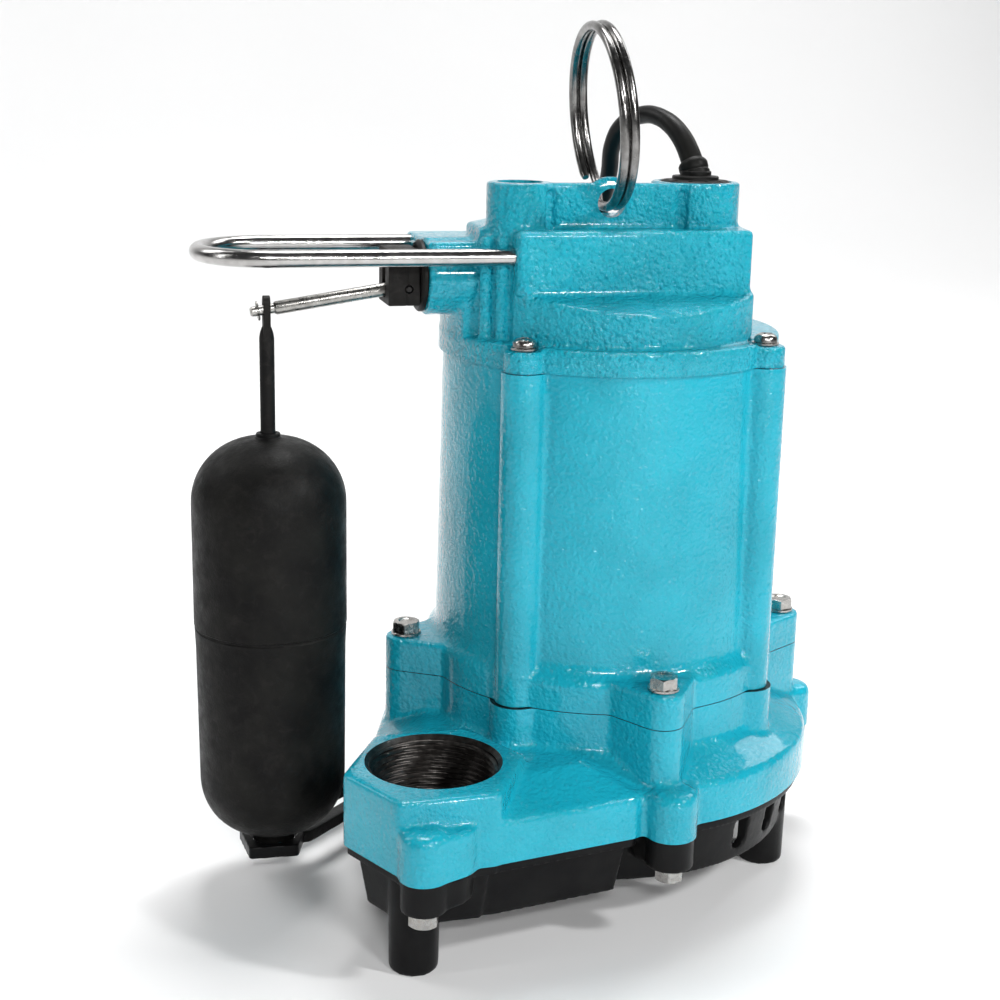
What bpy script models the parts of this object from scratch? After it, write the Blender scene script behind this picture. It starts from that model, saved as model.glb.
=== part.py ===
"""Submersible sump pump with a vertical float switch, built as an assembly of separate pieces.

Lengths in this file are millimetres in the pump's own frame: the motor axis is x = y = 0, the
discharge port stands at the front left (-X, -Y), and z = 0 is the floor under the three feet.
"""
import math

import bmesh
import bpy
from mathutils import Matrix, Vector

MM = 0.001
GAP = 0.3

# Where the motor axis stands in the world, so that the pump's box is centred on the origin.
MOTOR_AXIS = (32.9, 7.2, 0.0)

# Levels, from the floor up.
SKIRT_BOTTOM = 19.0
BOSS_BOTTOM = 30.6
LIP_BOTTOM = 38.8
BASE_TOP = 42.7
VOLUTE_BOTTOM = 43.0
RIM_TOP = 60.0
DISCHARGE_TOP = 70.6
VOLUTE_TOP = 82.4
HOUSING_BOTTOM = 83.5
FLANGE_TOP = 96.0
HOUSING_TOP = 208.2
COVER_BOTTOM = 209.2
BAND_TOP = 218.0
LUG_TOP = 216.8
BOX_TOP = 258.6
CROWN_TOP = 275.0

# Radii about the motor axis.
RIM_R = 86.5
CHAMBER_R = 52.0
WAIST_R = 70.5
WALL_R_LOW = 66.5
WALL_R_HIGH = 64.8
BORE_R = 60.0
BAND_R = 66.5

# Fastener places and sizes.
COVER_SCREW_R = 66.0
COVER_LUG_R = 7.6
COLUMN_R = 9.0
HOUSING_BOLT_R = 80.0
HOUSING_LOBE_R = 8.2
EAR_ROOT = (56.5, 20.5)
LOBE_REACH = 12.0
LOBE_SPREAD = 4.5
BASE_LOBES = {
    "corner": (-94.5, -105.0, 9.0),
    "front": (1.5, -90.5, 9.6),
    "right": (88.8, 4.5, 9.4),
    "back": (6.0, 90.2, 9.4),
    "left": (-68.0, 54.0, 9.4),
}
FEET = {"corner": (-94.5, -88.6), "right": (63.5, -33.0), "back": (-14.0, 70.0)}
FOOT_R = 9.0

# The discharge port, a hexagonal boss with a pipe-threaded bore.
PORT = (-83.6, -69.5)
PORT_BORE_R = 23.6
PORT_MOUTH_R = 25.2
PORT_HEX = [(-118.1, -74.0), (-103.2, -103.4), (-66.5, -102.6), (-49.0, -71.0), (-64.0, -40.0),
            (-100.2, -40.4)]
VOLUTE_NECK = [(0.0, 0.0), (-85.0, 18.0), (-94.0, -10.0), (-104.0, -45.0), (-110.0, -82.0),
               (-102.0, -99.0), (-66.0, -101.6), (-10.0, -91.4)]

# The switch, its arm and the float.
SWITCH_AXIS = (-8.0, 239.3)
SWITCH_FACE_X = -76.4
PIVOT = (-83.3, -8.0, 235.4)
ARM_DROOP = math.radians(8.8)
ARM_REACH = 52.1
ARM_R = 2.5
FLOAT_X = PIVOT[0] - ARM_REACH * math.cos(ARM_DROOP)
FLOAT_Y = PIVOT[1]
FLOAT_PIN_Z = PIVOT[2] - ARM_REACH * math.sin(ARM_DROOP)
FLOAT_R = 29.2
FLOAT_BOTTOM = 21.5
FLOAT_TOP = 179.2
FLOAT_SEAM = 106.8
STUB_BOTTOM = 11.6
FLOAT_WALL = 2.4

# The bracket that keeps the float's stub in line.
GUIDE_LOW = 13.4
GUIDE_HIGH = 18.2
GUIDE_EYE_R = 9.6

# The wire guard over the float, and the lifting ring.
GUARD_Z = 249.0
GUARD_FRONT_Y = -35.6
GUARD_REAR_Y = 16.8
GUARD_BEND_X = -133.0
GUARD_WIRE_R = 3.1
GUARD_FRONT_END = -43.5
GUARD_REAR_DEPTH = 13.6
RING_HOLE = (-10.2, 267.8, 5.3)
RING_WIRE_R = 1.75
RING_MEAN_R = 32.4
RING_PIVOT = (-10.6, -27.8, 266.6)
RING_LEAN = math.radians(-6)
RING_YAW = math.radians(-1.2)

# The power cord.
CORD_D = 7.0
GLAND = (27.0, -17.0)
GLAND_NUT_R = 5.6
GLAND_DOME_Z = 277.9
CORD_TILT = math.radians(30)
CORD_BEND_R = 31.0
CORD_HEADING = math.radians(109)
RELIEF_LENGTH = 24.0
CORD_STEP = 3.0
CORD_STRIDE = 5
COIL = (52.0, 168.0)
COIL_TURN_R = 42.0
COIL_ROWS = 3
COIL_LIFT = 1.2
COIL_INNER_R = COIL_TURN_R - COIL_ROWS * CORD_D / 2
COIL_OUTER_R = COIL_TURN_R + COIL_ROWS * CORD_D / 2
COIL_TOP = COIL_LIFT + COIL_ROWS * CORD_D
TAIL_START = math.radians(66)
PLUG_BACK = math.radians(290)
PLUG_WAY = Vector((-math.sin(PLUG_BACK), math.cos(PLUG_BACK), 0.0))
PLUG_SIZE = (34.0, 26.0, 22.0)

TEAL = (0.012, 0.42, 0.56)
BLACK = (0.012, 0.012, 0.013)
STEEL = (0.62, 0.61, 0.60)


def material(name, colour, roughness, metallic):
    mat = bpy.data.materials.new(name)
    mat.use_nodes = True
    shader = mat.node_tree.nodes["Principled BSDF"]
    shader.inputs["Base Color"].default_value = (*colour, 1.0)
    shader.inputs["Roughness"].default_value = roughness
    shader.inputs["Metallic"].default_value = metallic
    mat.diffuse_color = (*colour, 1.0)
    return mat


FINISHES = {
    "paint": (TEAL, 0.22, 0.0),
    "plastic": (BLACK, 0.55, 0.0),
    "rubber": ((0.015, 0.015, 0.015), 0.75, 0.0),
    "steel": (STEEL, 0.25, 1.0),
    "iron": ((0.18, 0.18, 0.19), 0.45, 1.0),
    "lamination": ((0.33, 0.33, 0.34), 0.4, 1.0),
    "copper": ((0.72, 0.30, 0.13), 0.35, 1.0),
    "ceramic": ((0.85, 0.83, 0.78), 0.3, 0.0),
    "gasket": ((0.05, 0.05, 0.045), 0.85, 0.0),
    "brass": ((0.78, 0.57, 0.22), 0.3, 1.0),
}


# ---------------------------------------------------------------- outlines

def facets(radius):
    """How many sides a round shape of this radius gets."""
    for limit, count in ((2.5, 8), (4.0, 10), (10.5, 12), (20.0, 16), (45.0, 24)):
        if radius < limit:
            return count
    return 40


def disc(x, y, radius, count=None, start=0.0):
    count = count or facets(radius)
    angles = [start + 2 * math.pi * i / count for i in range(count)]
    return [(x + radius * math.cos(a), y + radius * math.sin(a)) for a in angles]


def hull(*discs):
    """The tight outline round some discs, each given as x, y and radius."""
    points = sorted({(round(x, 6), round(y, 6)) for spot in discs for x, y in disc(*spot)})
    outline = []
    for row in (points, points[::-1]):
        side = []
        for x, y in row:
            while len(side) > 1 and ((side[-1][0] - side[-2][0]) * (y - side[-2][1])
                                     <= (side[-1][1] - side[-2][1]) * (x - side[-2][0])):
                side.pop()
            side.append((x, y))
        outline += side[:-1]
    return outline


def inset(points, distance):
    """Move every edge of a counter-clockwise convex outline inwards by a distance."""
    moved = []
    for i, point in enumerate(points):
        before = Vector(point) - Vector(points[i - 1])
        after = Vector(points[(i + 1) % len(points)]) - Vector(point)
        before.normalize()
        after.normalize()
        normal = Vector((-before.y - after.y, before.x + after.x))
        normal.normalize()
        half = math.sqrt(max(1e-9, (1 + before.dot(after)) / 2))
        moved.append(tuple(Vector(point) + normal * distance / half))
    return moved


def rounded(points, radius, steps=2):
    """Round the corners of a counter-clockwise convex outline."""
    outline = []
    for i, point in enumerate(points):
        corner = Vector(point)
        before = (Vector(points[i - 1]) - corner).normalized()
        after = (Vector(points[(i + 1) % len(points)]) - corner).normalized()
        half = math.acos(max(-1.0, min(1.0, before.dot(after)))) / 2
        centre = corner + (before + after).normalized() * radius / math.sin(half)
        reach = radius / math.tan(half)
        first = corner + before * reach - centre
        last = corner + after * reach - centre
        start = math.atan2(first.y, first.x)
        sweep = (math.atan2(last.y, last.x) - start + math.pi) % (2 * math.pi) - math.pi
        for k in range(steps + 1):
            angle = start + sweep * k / steps
            outline.append((centre.x + radius * math.cos(angle), centre.y + radius * math.sin(angle)))
    return outline


def counter_clockwise(points):
    area = sum(points[i - 1][0] * p[1] - p[0] * points[i - 1][1] for i, p in enumerate(points))
    return points if area > 0 else points[::-1]


def polygon_levels(points, corner, steps=2):
    """Give a function from an inset to the rounded outline at that inset."""
    base = counter_clockwise(points)
    return lambda depth: rounded(inset(base, depth), max(corner - depth, 0.6), steps)


def disc_levels(x, y, radius):
    count = facets(radius)
    return lambda depth: disc(x, y, radius - depth, count)


def eased(shape, low, high, ease, steps=1):
    """Levels of a prism whose top edge is rounded with the radius ease."""
    levels = [(shape(0.0), low)]
    for k in range(steps + 1):
        angle = math.pi / 2 * k / steps
        levels.append((shape(ease * (1 - math.cos(angle))), high - ease * (1 - math.sin(angle))))
    return levels


# ---------------------------------------------------------------- solids

def solid(name, vertices, faces):
    mesh = bpy.data.meshes.new(name)
    mesh.from_pydata([Vector(v) * MM for v in vertices], [], faces)
    work = bmesh.new()
    work.from_mesh(mesh)
    bmesh.ops.recalc_face_normals(work, faces=work.faces)
    work.to_mesh(mesh)
    work.free()
    obj = bpy.data.objects.new(name, mesh)
    bpy.context.collection.objects.link(obj)
    return obj


def loft(name, levels):
    """A closed solid through outlines that hold the same number of points."""
    count = len(levels[0][0])
    vertices = [(x, y, z) for outline, z in levels for x, y in outline]
    faces = [tuple(range(count))[::-1]]
    for level in range(len(levels) - 1):
        low = level * count
        for i in range(count):
            j = (i + 1) % count
            faces.append((low + i, low + j, low + count + j, low + count + i))
    faces.append(tuple(range((len(levels) - 1) * count, len(levels) * count)))
    return solid(name, vertices, faces)


def prism(name, outline, low, high):
    return loft(name, [(outline, low), (outline, high)])


def box(name, low, high):
    outline = [(low[0], low[1]), (high[0], low[1]), (high[0], high[1]), (low[0], high[1])]
    return prism(name, outline, low[2], high[2])


def turned(name, profile, centre=(0.0, 0.0), count=None):
    """A solid of revolution about a vertical axis; a profile point at radius 0 is on the axis."""
    count = count or facets(max(radius for radius, z in profile))
    vertices = []
    rings = []
    for radius, z in profile:
        if radius == 0.0:
            rings.append([len(vertices)] * count)
            vertices.append((centre[0], centre[1], z))
            continue
        rings.append(list(range(len(vertices), len(vertices) + count)))
        vertices.extend((x, y, z) for x, y in disc(centre[0], centre[1], radius, count))
    faces = []
    closed = profile[0][0] > 0.0
    pairs = list(zip(rings, rings[1:]))
    if closed:
        pairs.append((rings[-1], rings[0]))
    for low, high in pairs:
        for i in range(count):
            j = (i + 1) % count
            corners = [low[i], low[j], high[j], high[i]]
            face = [v for k, v in enumerate(corners) if v not in corners[:k]]
            if len(face) > 2:
                faces.append(face)
    return solid(name, vertices, faces)


def turn_to(obj, matrix):
    obj.data.transform(matrix)
    return obj


def along(obj, origin, direction):
    """Lay a piece that was made on the vertical axis along a direction, its z = 0 at origin."""
    turn = Vector((0, 0, 1)).rotation_difference(Vector(direction)).to_matrix().to_4x4()
    return turn_to(obj, Matrix.Translation(Vector(origin) * MM) @ turn)


def wire(name, points, radius, sides=2):
    """A round bar along a line of points, with closed ends."""
    curve = bpy.data.curves.new(name, "CURVE")
    curve.dimensions = "3D"
    curve.bevel_depth = radius * MM
    curve.bevel_resolution = sides
    curve.use_fill_caps = True
    spline = curve.splines.new("POLY")
    spline.points.add(len(points) - 1)
    for target, point in zip(spline.points, points):
        target.co = (*(Vector(point) * MM), 1.0)
    obj = bpy.data.objects.new(name, curve)
    bpy.context.collection.objects.link(obj)
    return obj


def settle(obj):
    """Replace an object's shape by its evaluated mesh, and drop its modifiers."""
    graph = bpy.context.evaluated_depsgraph_get()
    mesh = bpy.data.meshes.new_from_object(obj.evaluated_get(graph))
    obj.modifiers.clear()
    obj.data = mesh
    work = bmesh.new()
    work.from_mesh(mesh)
    bmesh.ops.remove_doubles(work, verts=work.verts, dist=2e-6)
    bmesh.ops.dissolve_degenerate(work, edges=work.edges, dist=2e-6)
    bmesh.ops.dissolve_limit(work, angle_limit=math.radians(0.1), verts=work.verts, edges=work.edges)
    work.to_mesh(mesh)
    work.free()
    return obj


def combine(target, others, operation):
    for other in others:
        modifier = target.modifiers.new("step", "BOOLEAN")
        modifier.operation = operation
        modifier.object = other
        settle(target)
        bpy.data.objects.remove(other)
    return target


def join(target, *others):
    return combine(target, others, "UNION")


def cut(target, *others):
    return combine(target, others, "DIFFERENCE")


def place(obj, finish, pivot=(0.0, 0.0, 0.0)):
    """Finish a piece: origin at its pivot, parented to the pump, with its own material."""
    offset = Vector(pivot) * MM
    obj.data.transform(Matrix.Translation(-offset))
    obj.parent = PUMP
    obj.location = offset
    obj.data.materials.clear()
    obj.data.materials.append(material(obj.name, *FINISHES[finish]))
    if obj.type == "MESH":
        obj.data.shade_smooth()
        obj.data.set_sharp_from_angle(angle=math.radians(35))
    return obj


def quarter(index, radius, start=45.0):
    angle = math.radians(start + 90 * index)
    return radius * math.cos(angle), radius * math.sin(angle)


def smooth_path(knots, spacing):
    """Points a given distance apart on a Catmull-Rom curve through the knots."""
    ends = [2 * Vector(knots[0]) - Vector(knots[1])]
    tail = [2 * Vector(knots[-1]) - Vector(knots[-2])]
    pts = ends + [Vector(k) for k in knots] + tail
    fine = []
    for a, b, c, d in zip(pts, pts[1:], pts[2:], pts[3:]):
        for k in range(24):
            t = k / 24
            fine.append(0.5 * (2 * b + (c - a) * t + (2 * a - 5 * b + 4 * c - d) * t * t
                               + (3 * b - a - 3 * c + d) * t ** 3))
    fine.append(pts[-2])
    lengths = [0.0]
    for a, b in zip(fine, fine[1:]):
        lengths.append(lengths[-1] + (b - a).length)
    count = max(2, round(lengths[-1] / spacing))
    out = []
    index = 0
    for k in range(count + 1):
        want = lengths[-1] * k / count
        while index < len(fine) - 2 and lengths[index + 1] < want:
            index += 1
        part = (want - lengths[index]) / max(1e-9, lengths[index + 1] - lengths[index])
        out.append(fine[index].lerp(fine[index + 1], min(1.0, part)))
    return out


# ---------------------------------------------------------------- castings

def volute_shapes():
    """Plan outlines of the volute: its round rim, the neck, the port and the bolt lobes."""
    return {
        "rim": disc_levels(0, 0, RIM_R),
        "neck": polygon_levels(VOLUTE_NECK, 4.0),
        "port": polygon_levels(PORT_HEX, 3.5),
    }


def lobe_web(x, y, radius):
    """The outline that carries a bolt lobe out from the rim."""
    inward = Vector((x, y)).normalized() * LOBE_REACH
    return hull((x, y, radius - 0.5), (x - inward.x, y - inward.y, radius + LOBE_SPREAD))


def ear(index):
    """The outline of a housing bolt's ear, spreading into the waist."""
    outer = quarter(index, HOUSING_BOLT_R, 0)
    inner = quarter(index, EAR_ROOT[0], 0)
    return hull((*outer, HOUSING_LOBE_R), (*inner, EAR_ROOT[1]))


def volute_casing():
    shapes = volute_shapes()
    shoulder = [(RIM_R, VOLUTE_BOTTOM), (RIM_R, RIM_TOP - 3.0), (RIM_R - 0.9, RIM_TOP - 0.9),
                (RIM_R - 3.0, RIM_TOP), (WAIST_R + 2.5, RIM_TOP + 6.0), (WAIST_R, RIM_TOP + 8.5),
                (WAIST_R, VOLUTE_TOP)]
    casing = turned("volute_casing", [(0.0, VOLUTE_BOTTOM)] + shoulder + [(0.0, VOLUTE_TOP)])
    neck = shapes["neck"]
    slope = eased(neck, VOLUTE_BOTTOM, RIM_TOP, 3.0) + [(neck(20.0), RIM_TOP + 7.0)]
    join(casing, loft("neck", slope))
    join(casing, loft("port", eased(shapes["port"], VOLUTE_BOTTOM, DISCHARGE_TOP, 1.5)))
    for x, y, radius in BASE_LOBES.values():
        join(casing, loft("lobe", eased(disc_levels(x, y, radius), VOLUTE_BOTTOM, RIM_TOP + 1.0, 3.5)))
        join(casing, prism("web", lobe_web(x, y, radius), VOLUTE_BOTTOM, RIM_TOP - 0.5))
    for index in range(4):
        join(casing, prism("ear", ear(index), RIM_TOP - 4.0, VOLUTE_TOP))
        x, y = quarter(index, COVER_SCREW_R)
        join(casing, prism("column_foot", disc(x, y, COLUMN_R + 1.0), RIM_TOP - 4.0, VOLUTE_TOP))
    roof = 63.0
    cut(casing, turned("chamber", [(0.0, VOLUTE_BOTTOM - 2), (CHAMBER_R, VOLUTE_BOTTOM - 2),
                                   (CHAMBER_R, roof - 3), (CHAMBER_R - 3, roof), (0.0, roof)]))
    channel = polygon_levels([(-20.0, -48.0), (-70.0, -88.0), (-98.0, -84.0), (-100.0, -55.0),
                              (-40.0, -20.0)], 8.0)
    cut(casing, prism("channel", channel(0.0), VOLUTE_BOTTOM - 2, roof - 1))
    cut(casing, turned("port_bore", [(0.0, VOLUTE_BOTTOM + 3), (PORT_BORE_R, VOLUTE_BOTTOM + 3),
                                     (PORT_BORE_R, DISCHARGE_TOP - 1.6), (PORT_MOUTH_R, DISCHARGE_TOP),
                                     (PORT_MOUTH_R, DISCHARGE_TOP + 2), (0.0, DISCHARGE_TOP + 2)], PORT, 40))
    cut(casing, turned("plate_seat", [(0.0, roof - 2), (24.0, roof - 2), (24.0, 74.0), (58.0, 74.0),
                                      (58.0, VOLUTE_TOP + 2), (0.0, VOLUTE_TOP + 2)]))
    for x, y, radius in BASE_LOBES.values():
        cut(casing, prism("hole", disc(x, y, 3.3), VOLUTE_BOTTOM - 2, RIM_TOP - 5.0))
    for index in range(4):
        x, y = quarter(index, HOUSING_BOLT_R, 0)
        cut(casing, prism("hole", disc(x, y, 3.3), VOLUTE_TOP - 14.0, VOLUTE_TOP + 2))
    return place(casing, "paint")


def motor_housing():
    wall = [(0.0, HOUSING_BOTTOM), (WAIST_R, HOUSING_BOTTOM), (WAIST_R, FLANGE_TOP - 3.0),
            (WAIST_R - 1.2, FLANGE_TOP - 0.8), (WALL_R_LOW + 1.2, FLANGE_TOP + 0.6),
            (WALL_R_LOW, FLANGE_TOP + 3.5), (WALL_R_HIGH, HOUSING_TOP), (0.0, HOUSING_TOP)]
    housing = turned("motor_housing", wall)
    for index in range(4):
        x, y = quarter(index, COVER_SCREW_R)
        join(housing, prism("column", disc(x, y, COLUMN_R - 0.6), HOUSING_BOTTOM, HOUSING_TOP))
        join(housing, prism("ear", ear(index), HOUSING_BOTTOM, FLANGE_TOP - 0.4))
    cut(housing, prism("bore", disc(0, 0, BORE_R), HOUSING_BOTTOM - 2, HOUSING_TOP + 2))
    for index in range(4):
        x, y = quarter(index, COVER_SCREW_R)
        cut(housing, prism("hole", disc(x, y, 2.7), HOUSING_TOP - 18.0, HOUSING_TOP + 2))
        x, y = quarter(index, HOUSING_BOLT_R, 0)
        cut(housing, prism("hole", disc(x, y, 3.3), HOUSING_BOTTOM - 2, FLANGE_TOP + 2))
    return place(housing, "paint")


COVER_BOX = [(-48.5, -41.5), (42.0, -41.5), (45.0, -20.0), (45.0, 20.0), (30.0, 38.0), (-28.0, 38.0),
             (-48.0, 14.0), (-58.0, 0.0), (-58.0, -22.0), (-48.5, -31.5)]
PANEL_Y = -41.5
PANEL_LOW = 235.6
BULGE_R = 60.3
BULGE_SLOPE = math.radians(15.4)
LEFT_BOSS = (-43.1, -22.0, 12.3)
RIGHT_BOSS = (GLAND[0], GLAND[1], 16.8)
CROWN_FRONT_Y = -30.0
CROWN_BACK_Y = -25.0
GUARD_POCKET = 16.0


def cover():
    crown_low = BOX_TOP - 3.0
    shell = loft("cover", eased(disc_levels(0, 0, BAND_R), COVER_BOTTOM, BAND_TOP, 1.4))
    body = polygon_levels(COVER_BOX, 2.6)
    join(shell, loft("box", eased(body, COVER_BOTTOM, BOX_TOP, 2.0)))
    bulge = prism("bulge", disc(0, 0, BULGE_R), COVER_BOTTOM, PANEL_LOW + 1.3)
    combine(bulge, [box("bulge_side", (-48.5, -70.0, 200.0), (43.0, 0.0, 240.0))], "INTERSECT")
    slope = box("slope", (-80.0, -60.0, 0.0), (80.0, 12.0, 30.0))
    edge = Matrix.Translation(Vector((0, PANEL_Y, PANEL_LOW)) * MM)
    cut(bulge, turn_to(slope, edge @ Matrix.Rotation(BULGE_SLOPE, 4, "X")))
    join(shell, bulge)
    for x, y in ((-51.6, -31.0), (-56.4, -26.2)):
        join(shell, loft("rib", eased(disc_levels(x, y, 2.4), BAND_TOP - 4, BOX_TOP - 3.0, 1.2)))
    for index in range(4):
        x, y = quarter(index, COVER_SCREW_R)
        join(shell, loft("lug", eased(disc_levels(x, y, COVER_LUG_R), COVER_BOTTOM, LUG_TOP, 1.0)))
        cut(shell, prism("lug_seat", disc(x, y, COVER_LUG_R - 1.2), LUG_TOP, BAND_TOP + 1.5))
    y, z = SWITCH_AXIS
    boss = along(prism("boss", disc(0, 0, 14.6), 0, 40), (SWITCH_FACE_X, y, z), (1, 0, 0))
    pedestal = prism("pedestal", disc(0, 0, BAND_R - 0.4), BAND_TOP - 4.7, 243.4)
    combine(pedestal, [box("pedestal_side", (-75.0, -19.5, 200.0), (-41.3, 23.3, 250.0))], "INTERSECT")
    join(shell, boss, pedestal)
    ledge = polygon_levels([(SWITCH_FACE_X, -20.0), (-40.0, -20.0), (-40.0, GUARD_REAR_Y + 7.0),
                            (SWITCH_FACE_X, GUARD_REAR_Y + 7.0)], 2.0)
    join(shell, loft("ledge", eased(ledge, 242.0, 252.8, 1.2)))
    for boss in (LEFT_BOSS, RIGHT_BOSS):
        join(shell, loft("crown_boss", eased(disc_levels(*boss), crown_low, CROWN_TOP, 1.0)))
    wall = polygon_levels([(LEFT_BOSS[0], CROWN_FRONT_Y), (RIGHT_BOSS[0], CROWN_FRONT_Y),
                           (RIGHT_BOSS[0], CROWN_BACK_Y), (LEFT_BOSS[0], CROWN_BACK_Y)], 0.8)
    join(shell, loft("crown_wall", eased(wall, crown_low, CROWN_TOP, 0.8)))
    hole_x, hole_z, hole_r = RING_HOLE
    hump = prism("hump", disc(0, 0, hole_r + 4.2, 20), 0, CROWN_BACK_Y - CROWN_FRONT_Y - 0.6)
    join(shell, along(hump, (hole_x, CROWN_FRONT_Y + 0.3, hole_z), (0, 1, 0)))

    cut(shell, prism("mouth", disc(0, 0, BORE_R - 2.0), COVER_BOTTOM - 2, BAND_TOP - 5.0))
    cut(shell, prism("room", body(5.0), BAND_TOP - 7.0, BOX_TOP - 4.5))
    cut(shell, along(prism("switch_bore", disc(0, 0, 12.0), 0, 30), (SWITCH_FACE_X - 2, y, z), (1, 0, 0)))
    ring_hole = prism("ring_hole", disc(0, 0, hole_r, 16), 0, 12)
    cut(shell, along(ring_hole, (hole_x, CROWN_FRONT_Y - 2.5, hole_z), (0, 1, 0)))
    cut(shell, prism("gland_bore", disc(*GLAND, 8.0), BOX_TOP - 8, CROWN_TOP + 2))
    cut(shell, prism("gland_seat", disc(*GLAND, 13.7), CROWN_TOP - 3.0, CROWN_TOP + 2))
    cut(shell, prism("plug_bore", disc(LEFT_BOSS[0], LEFT_BOSS[1], 6.5), BOX_TOP - 8, CROWN_TOP + 2))
    cut(shell, prism("plug_seat", disc(LEFT_BOSS[0], LEFT_BOSS[1], 8.5), CROWN_TOP - 7.0, CROWN_TOP + 2))
    front_hole = prism("guard_hole", disc(0, 0, GUARD_WIRE_R + GAP), 0, GUARD_POCKET)
    cut(shell, along(front_hole, (GUARD_FRONT_END + GAP - GUARD_POCKET, GUARD_FRONT_Y, GUARD_Z), (1, 0, 0)))
    rear_hole = prism("guard_hole", disc(0, 0, GUARD_WIRE_R + GAP), 0, GUARD_REAR_DEPTH + 2 + GAP)
    cut(shell, along(rear_hole, (SWITCH_FACE_X - 2, GUARD_REAR_Y, GUARD_Z), (1, 0, 0)))
    for index in range(4):
        x, y = quarter(index, COVER_SCREW_R)
        cut(shell, prism("hole", disc(x, y, 2.7), COVER_BOTTOM - 2, LUG_TOP + 2))
    return place(shell, "paint")


def slot_cutter(angle):
    """A round-bottomed intake slot through the skirt, made lying along +X and turned to its angle."""
    half = 4.0
    low = [(half * math.cos(a), half * math.sin(a)) for a in
           [math.pi + math.pi * k / 6 for k in range(7)]]
    outline = low + [(half, 9.0), (-half, 9.0)]
    slot = prism("slot", outline, 0, 22)
    turn = Matrix.Rotation(math.radians(angle), 4, "Z")
    stand = Matrix(((0, 0, 1, 68 * MM), (1, 0, 0, 0), (0, 1, 0, 27.5 * MM), (0, 0, 0, 1)))
    return turn_to(slot, turn @ stand)


INTAKE_ANGLES = (-61.4, -46.5, -31.5, -16.5, 20.0, 35.0, 50.0, 66.0, 106.0, 121.0, 136.0, 176.0)


def strainer_base():
    shapes = volute_shapes()
    base = prism("strainer_base", shapes["rim"](1.5), LIP_BOTTOM, BASE_TOP)
    for key in ("neck", "port"):
        join(base, prism("lip", shapes[key](1.5), LIP_BOTTOM, BASE_TOP))
    for shape in shapes.values():
        join(base, loft("skirt", [(shape(8.2), SKIRT_BOTTOM), (shape(5.0), LIP_BOTTOM + 0.5)]))
    room_top = LIP_BOTTOM - 2.8
    for shape in shapes.values():
        cut(base, prism("room", shape(11.4), SKIRT_BOTTOM - 2, room_top))
    for key, (x, y, radius) in BASE_LOBES.items():
        low = GUIDE_HIGH + GAP if key == "left" else BOSS_BOTTOM
        join(base, prism("boss", disc(x, y, radius - 0.8), low, BASE_TOP))
        join(base, prism("web", lobe_web(x, y, radius - 2.2), low + 0.6, BASE_TOP - 1))
    for x, y in FEET.values():
        join(base, loft("foot", [(disc(x, y, FOOT_R - 0.4), 0.0), (disc(x, y, FOOT_R), 1.0),
                                 (disc(x, y, FOOT_R + 0.4), room_top + 1)]))
    for index in range(3):
        angle = math.radians(60 * index + 12)
        rib = box("rib", (-72.0, -1.4, 27.0), (72.0, 1.4, room_top + 1))
        join(base, turn_to(rib, Matrix.Rotation(angle, 4, "Z")))
    for angle in INTAKE_ANGLES:
        cut(base, slot_cutter(angle))
    cut(base, turned("eye", [(0.0, 20.0), (24.0, 20.0), (24.0, room_top - 1), (20.0, BASE_TOP - 3),
                             (20.0, BASE_TOP + 2), (0.0, BASE_TOP + 2)]))
    for x, y, radius in BASE_LOBES.values():
        cut(base, prism("hole", disc(x, y, 3.3), GUIDE_HIGH - 2, BASE_TOP + 2))
    return place(base, "plastic")


# ---------------------------------------------------------------- pump and motor internals

def impeller():
    wheel = turned("impeller", [(6.3, 46.5), (11.0, 46.5), (12.5, 51.5), (45.0, 52.4), (45.0, 54.6),
                                (6.3, 56.0)], count=24)
    for index in range(6):
        turn = math.radians(60 * index)
        spine = [(11.0 + 8.4 * k, 0.012 * (8.4 * k) ** 2) for k in range(5)]
        left = [(x, y + 1.2) for x, y in spine]
        right = [(x, y - 1.2) for x, y in spine]
        vane = prism("vane", right + left[::-1], 45.2, 53.0)
        join(wheel, turn_to(vane, Matrix.Rotation(turn, 4, "Z")))
    return place(wheel, "plastic", (0, 0, 50))


def round_piece(name, finish, profile, pivot=(0.0, 0.0, 0.0)):
    return place(turned(name, profile, count=20), finish, pivot)


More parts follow.
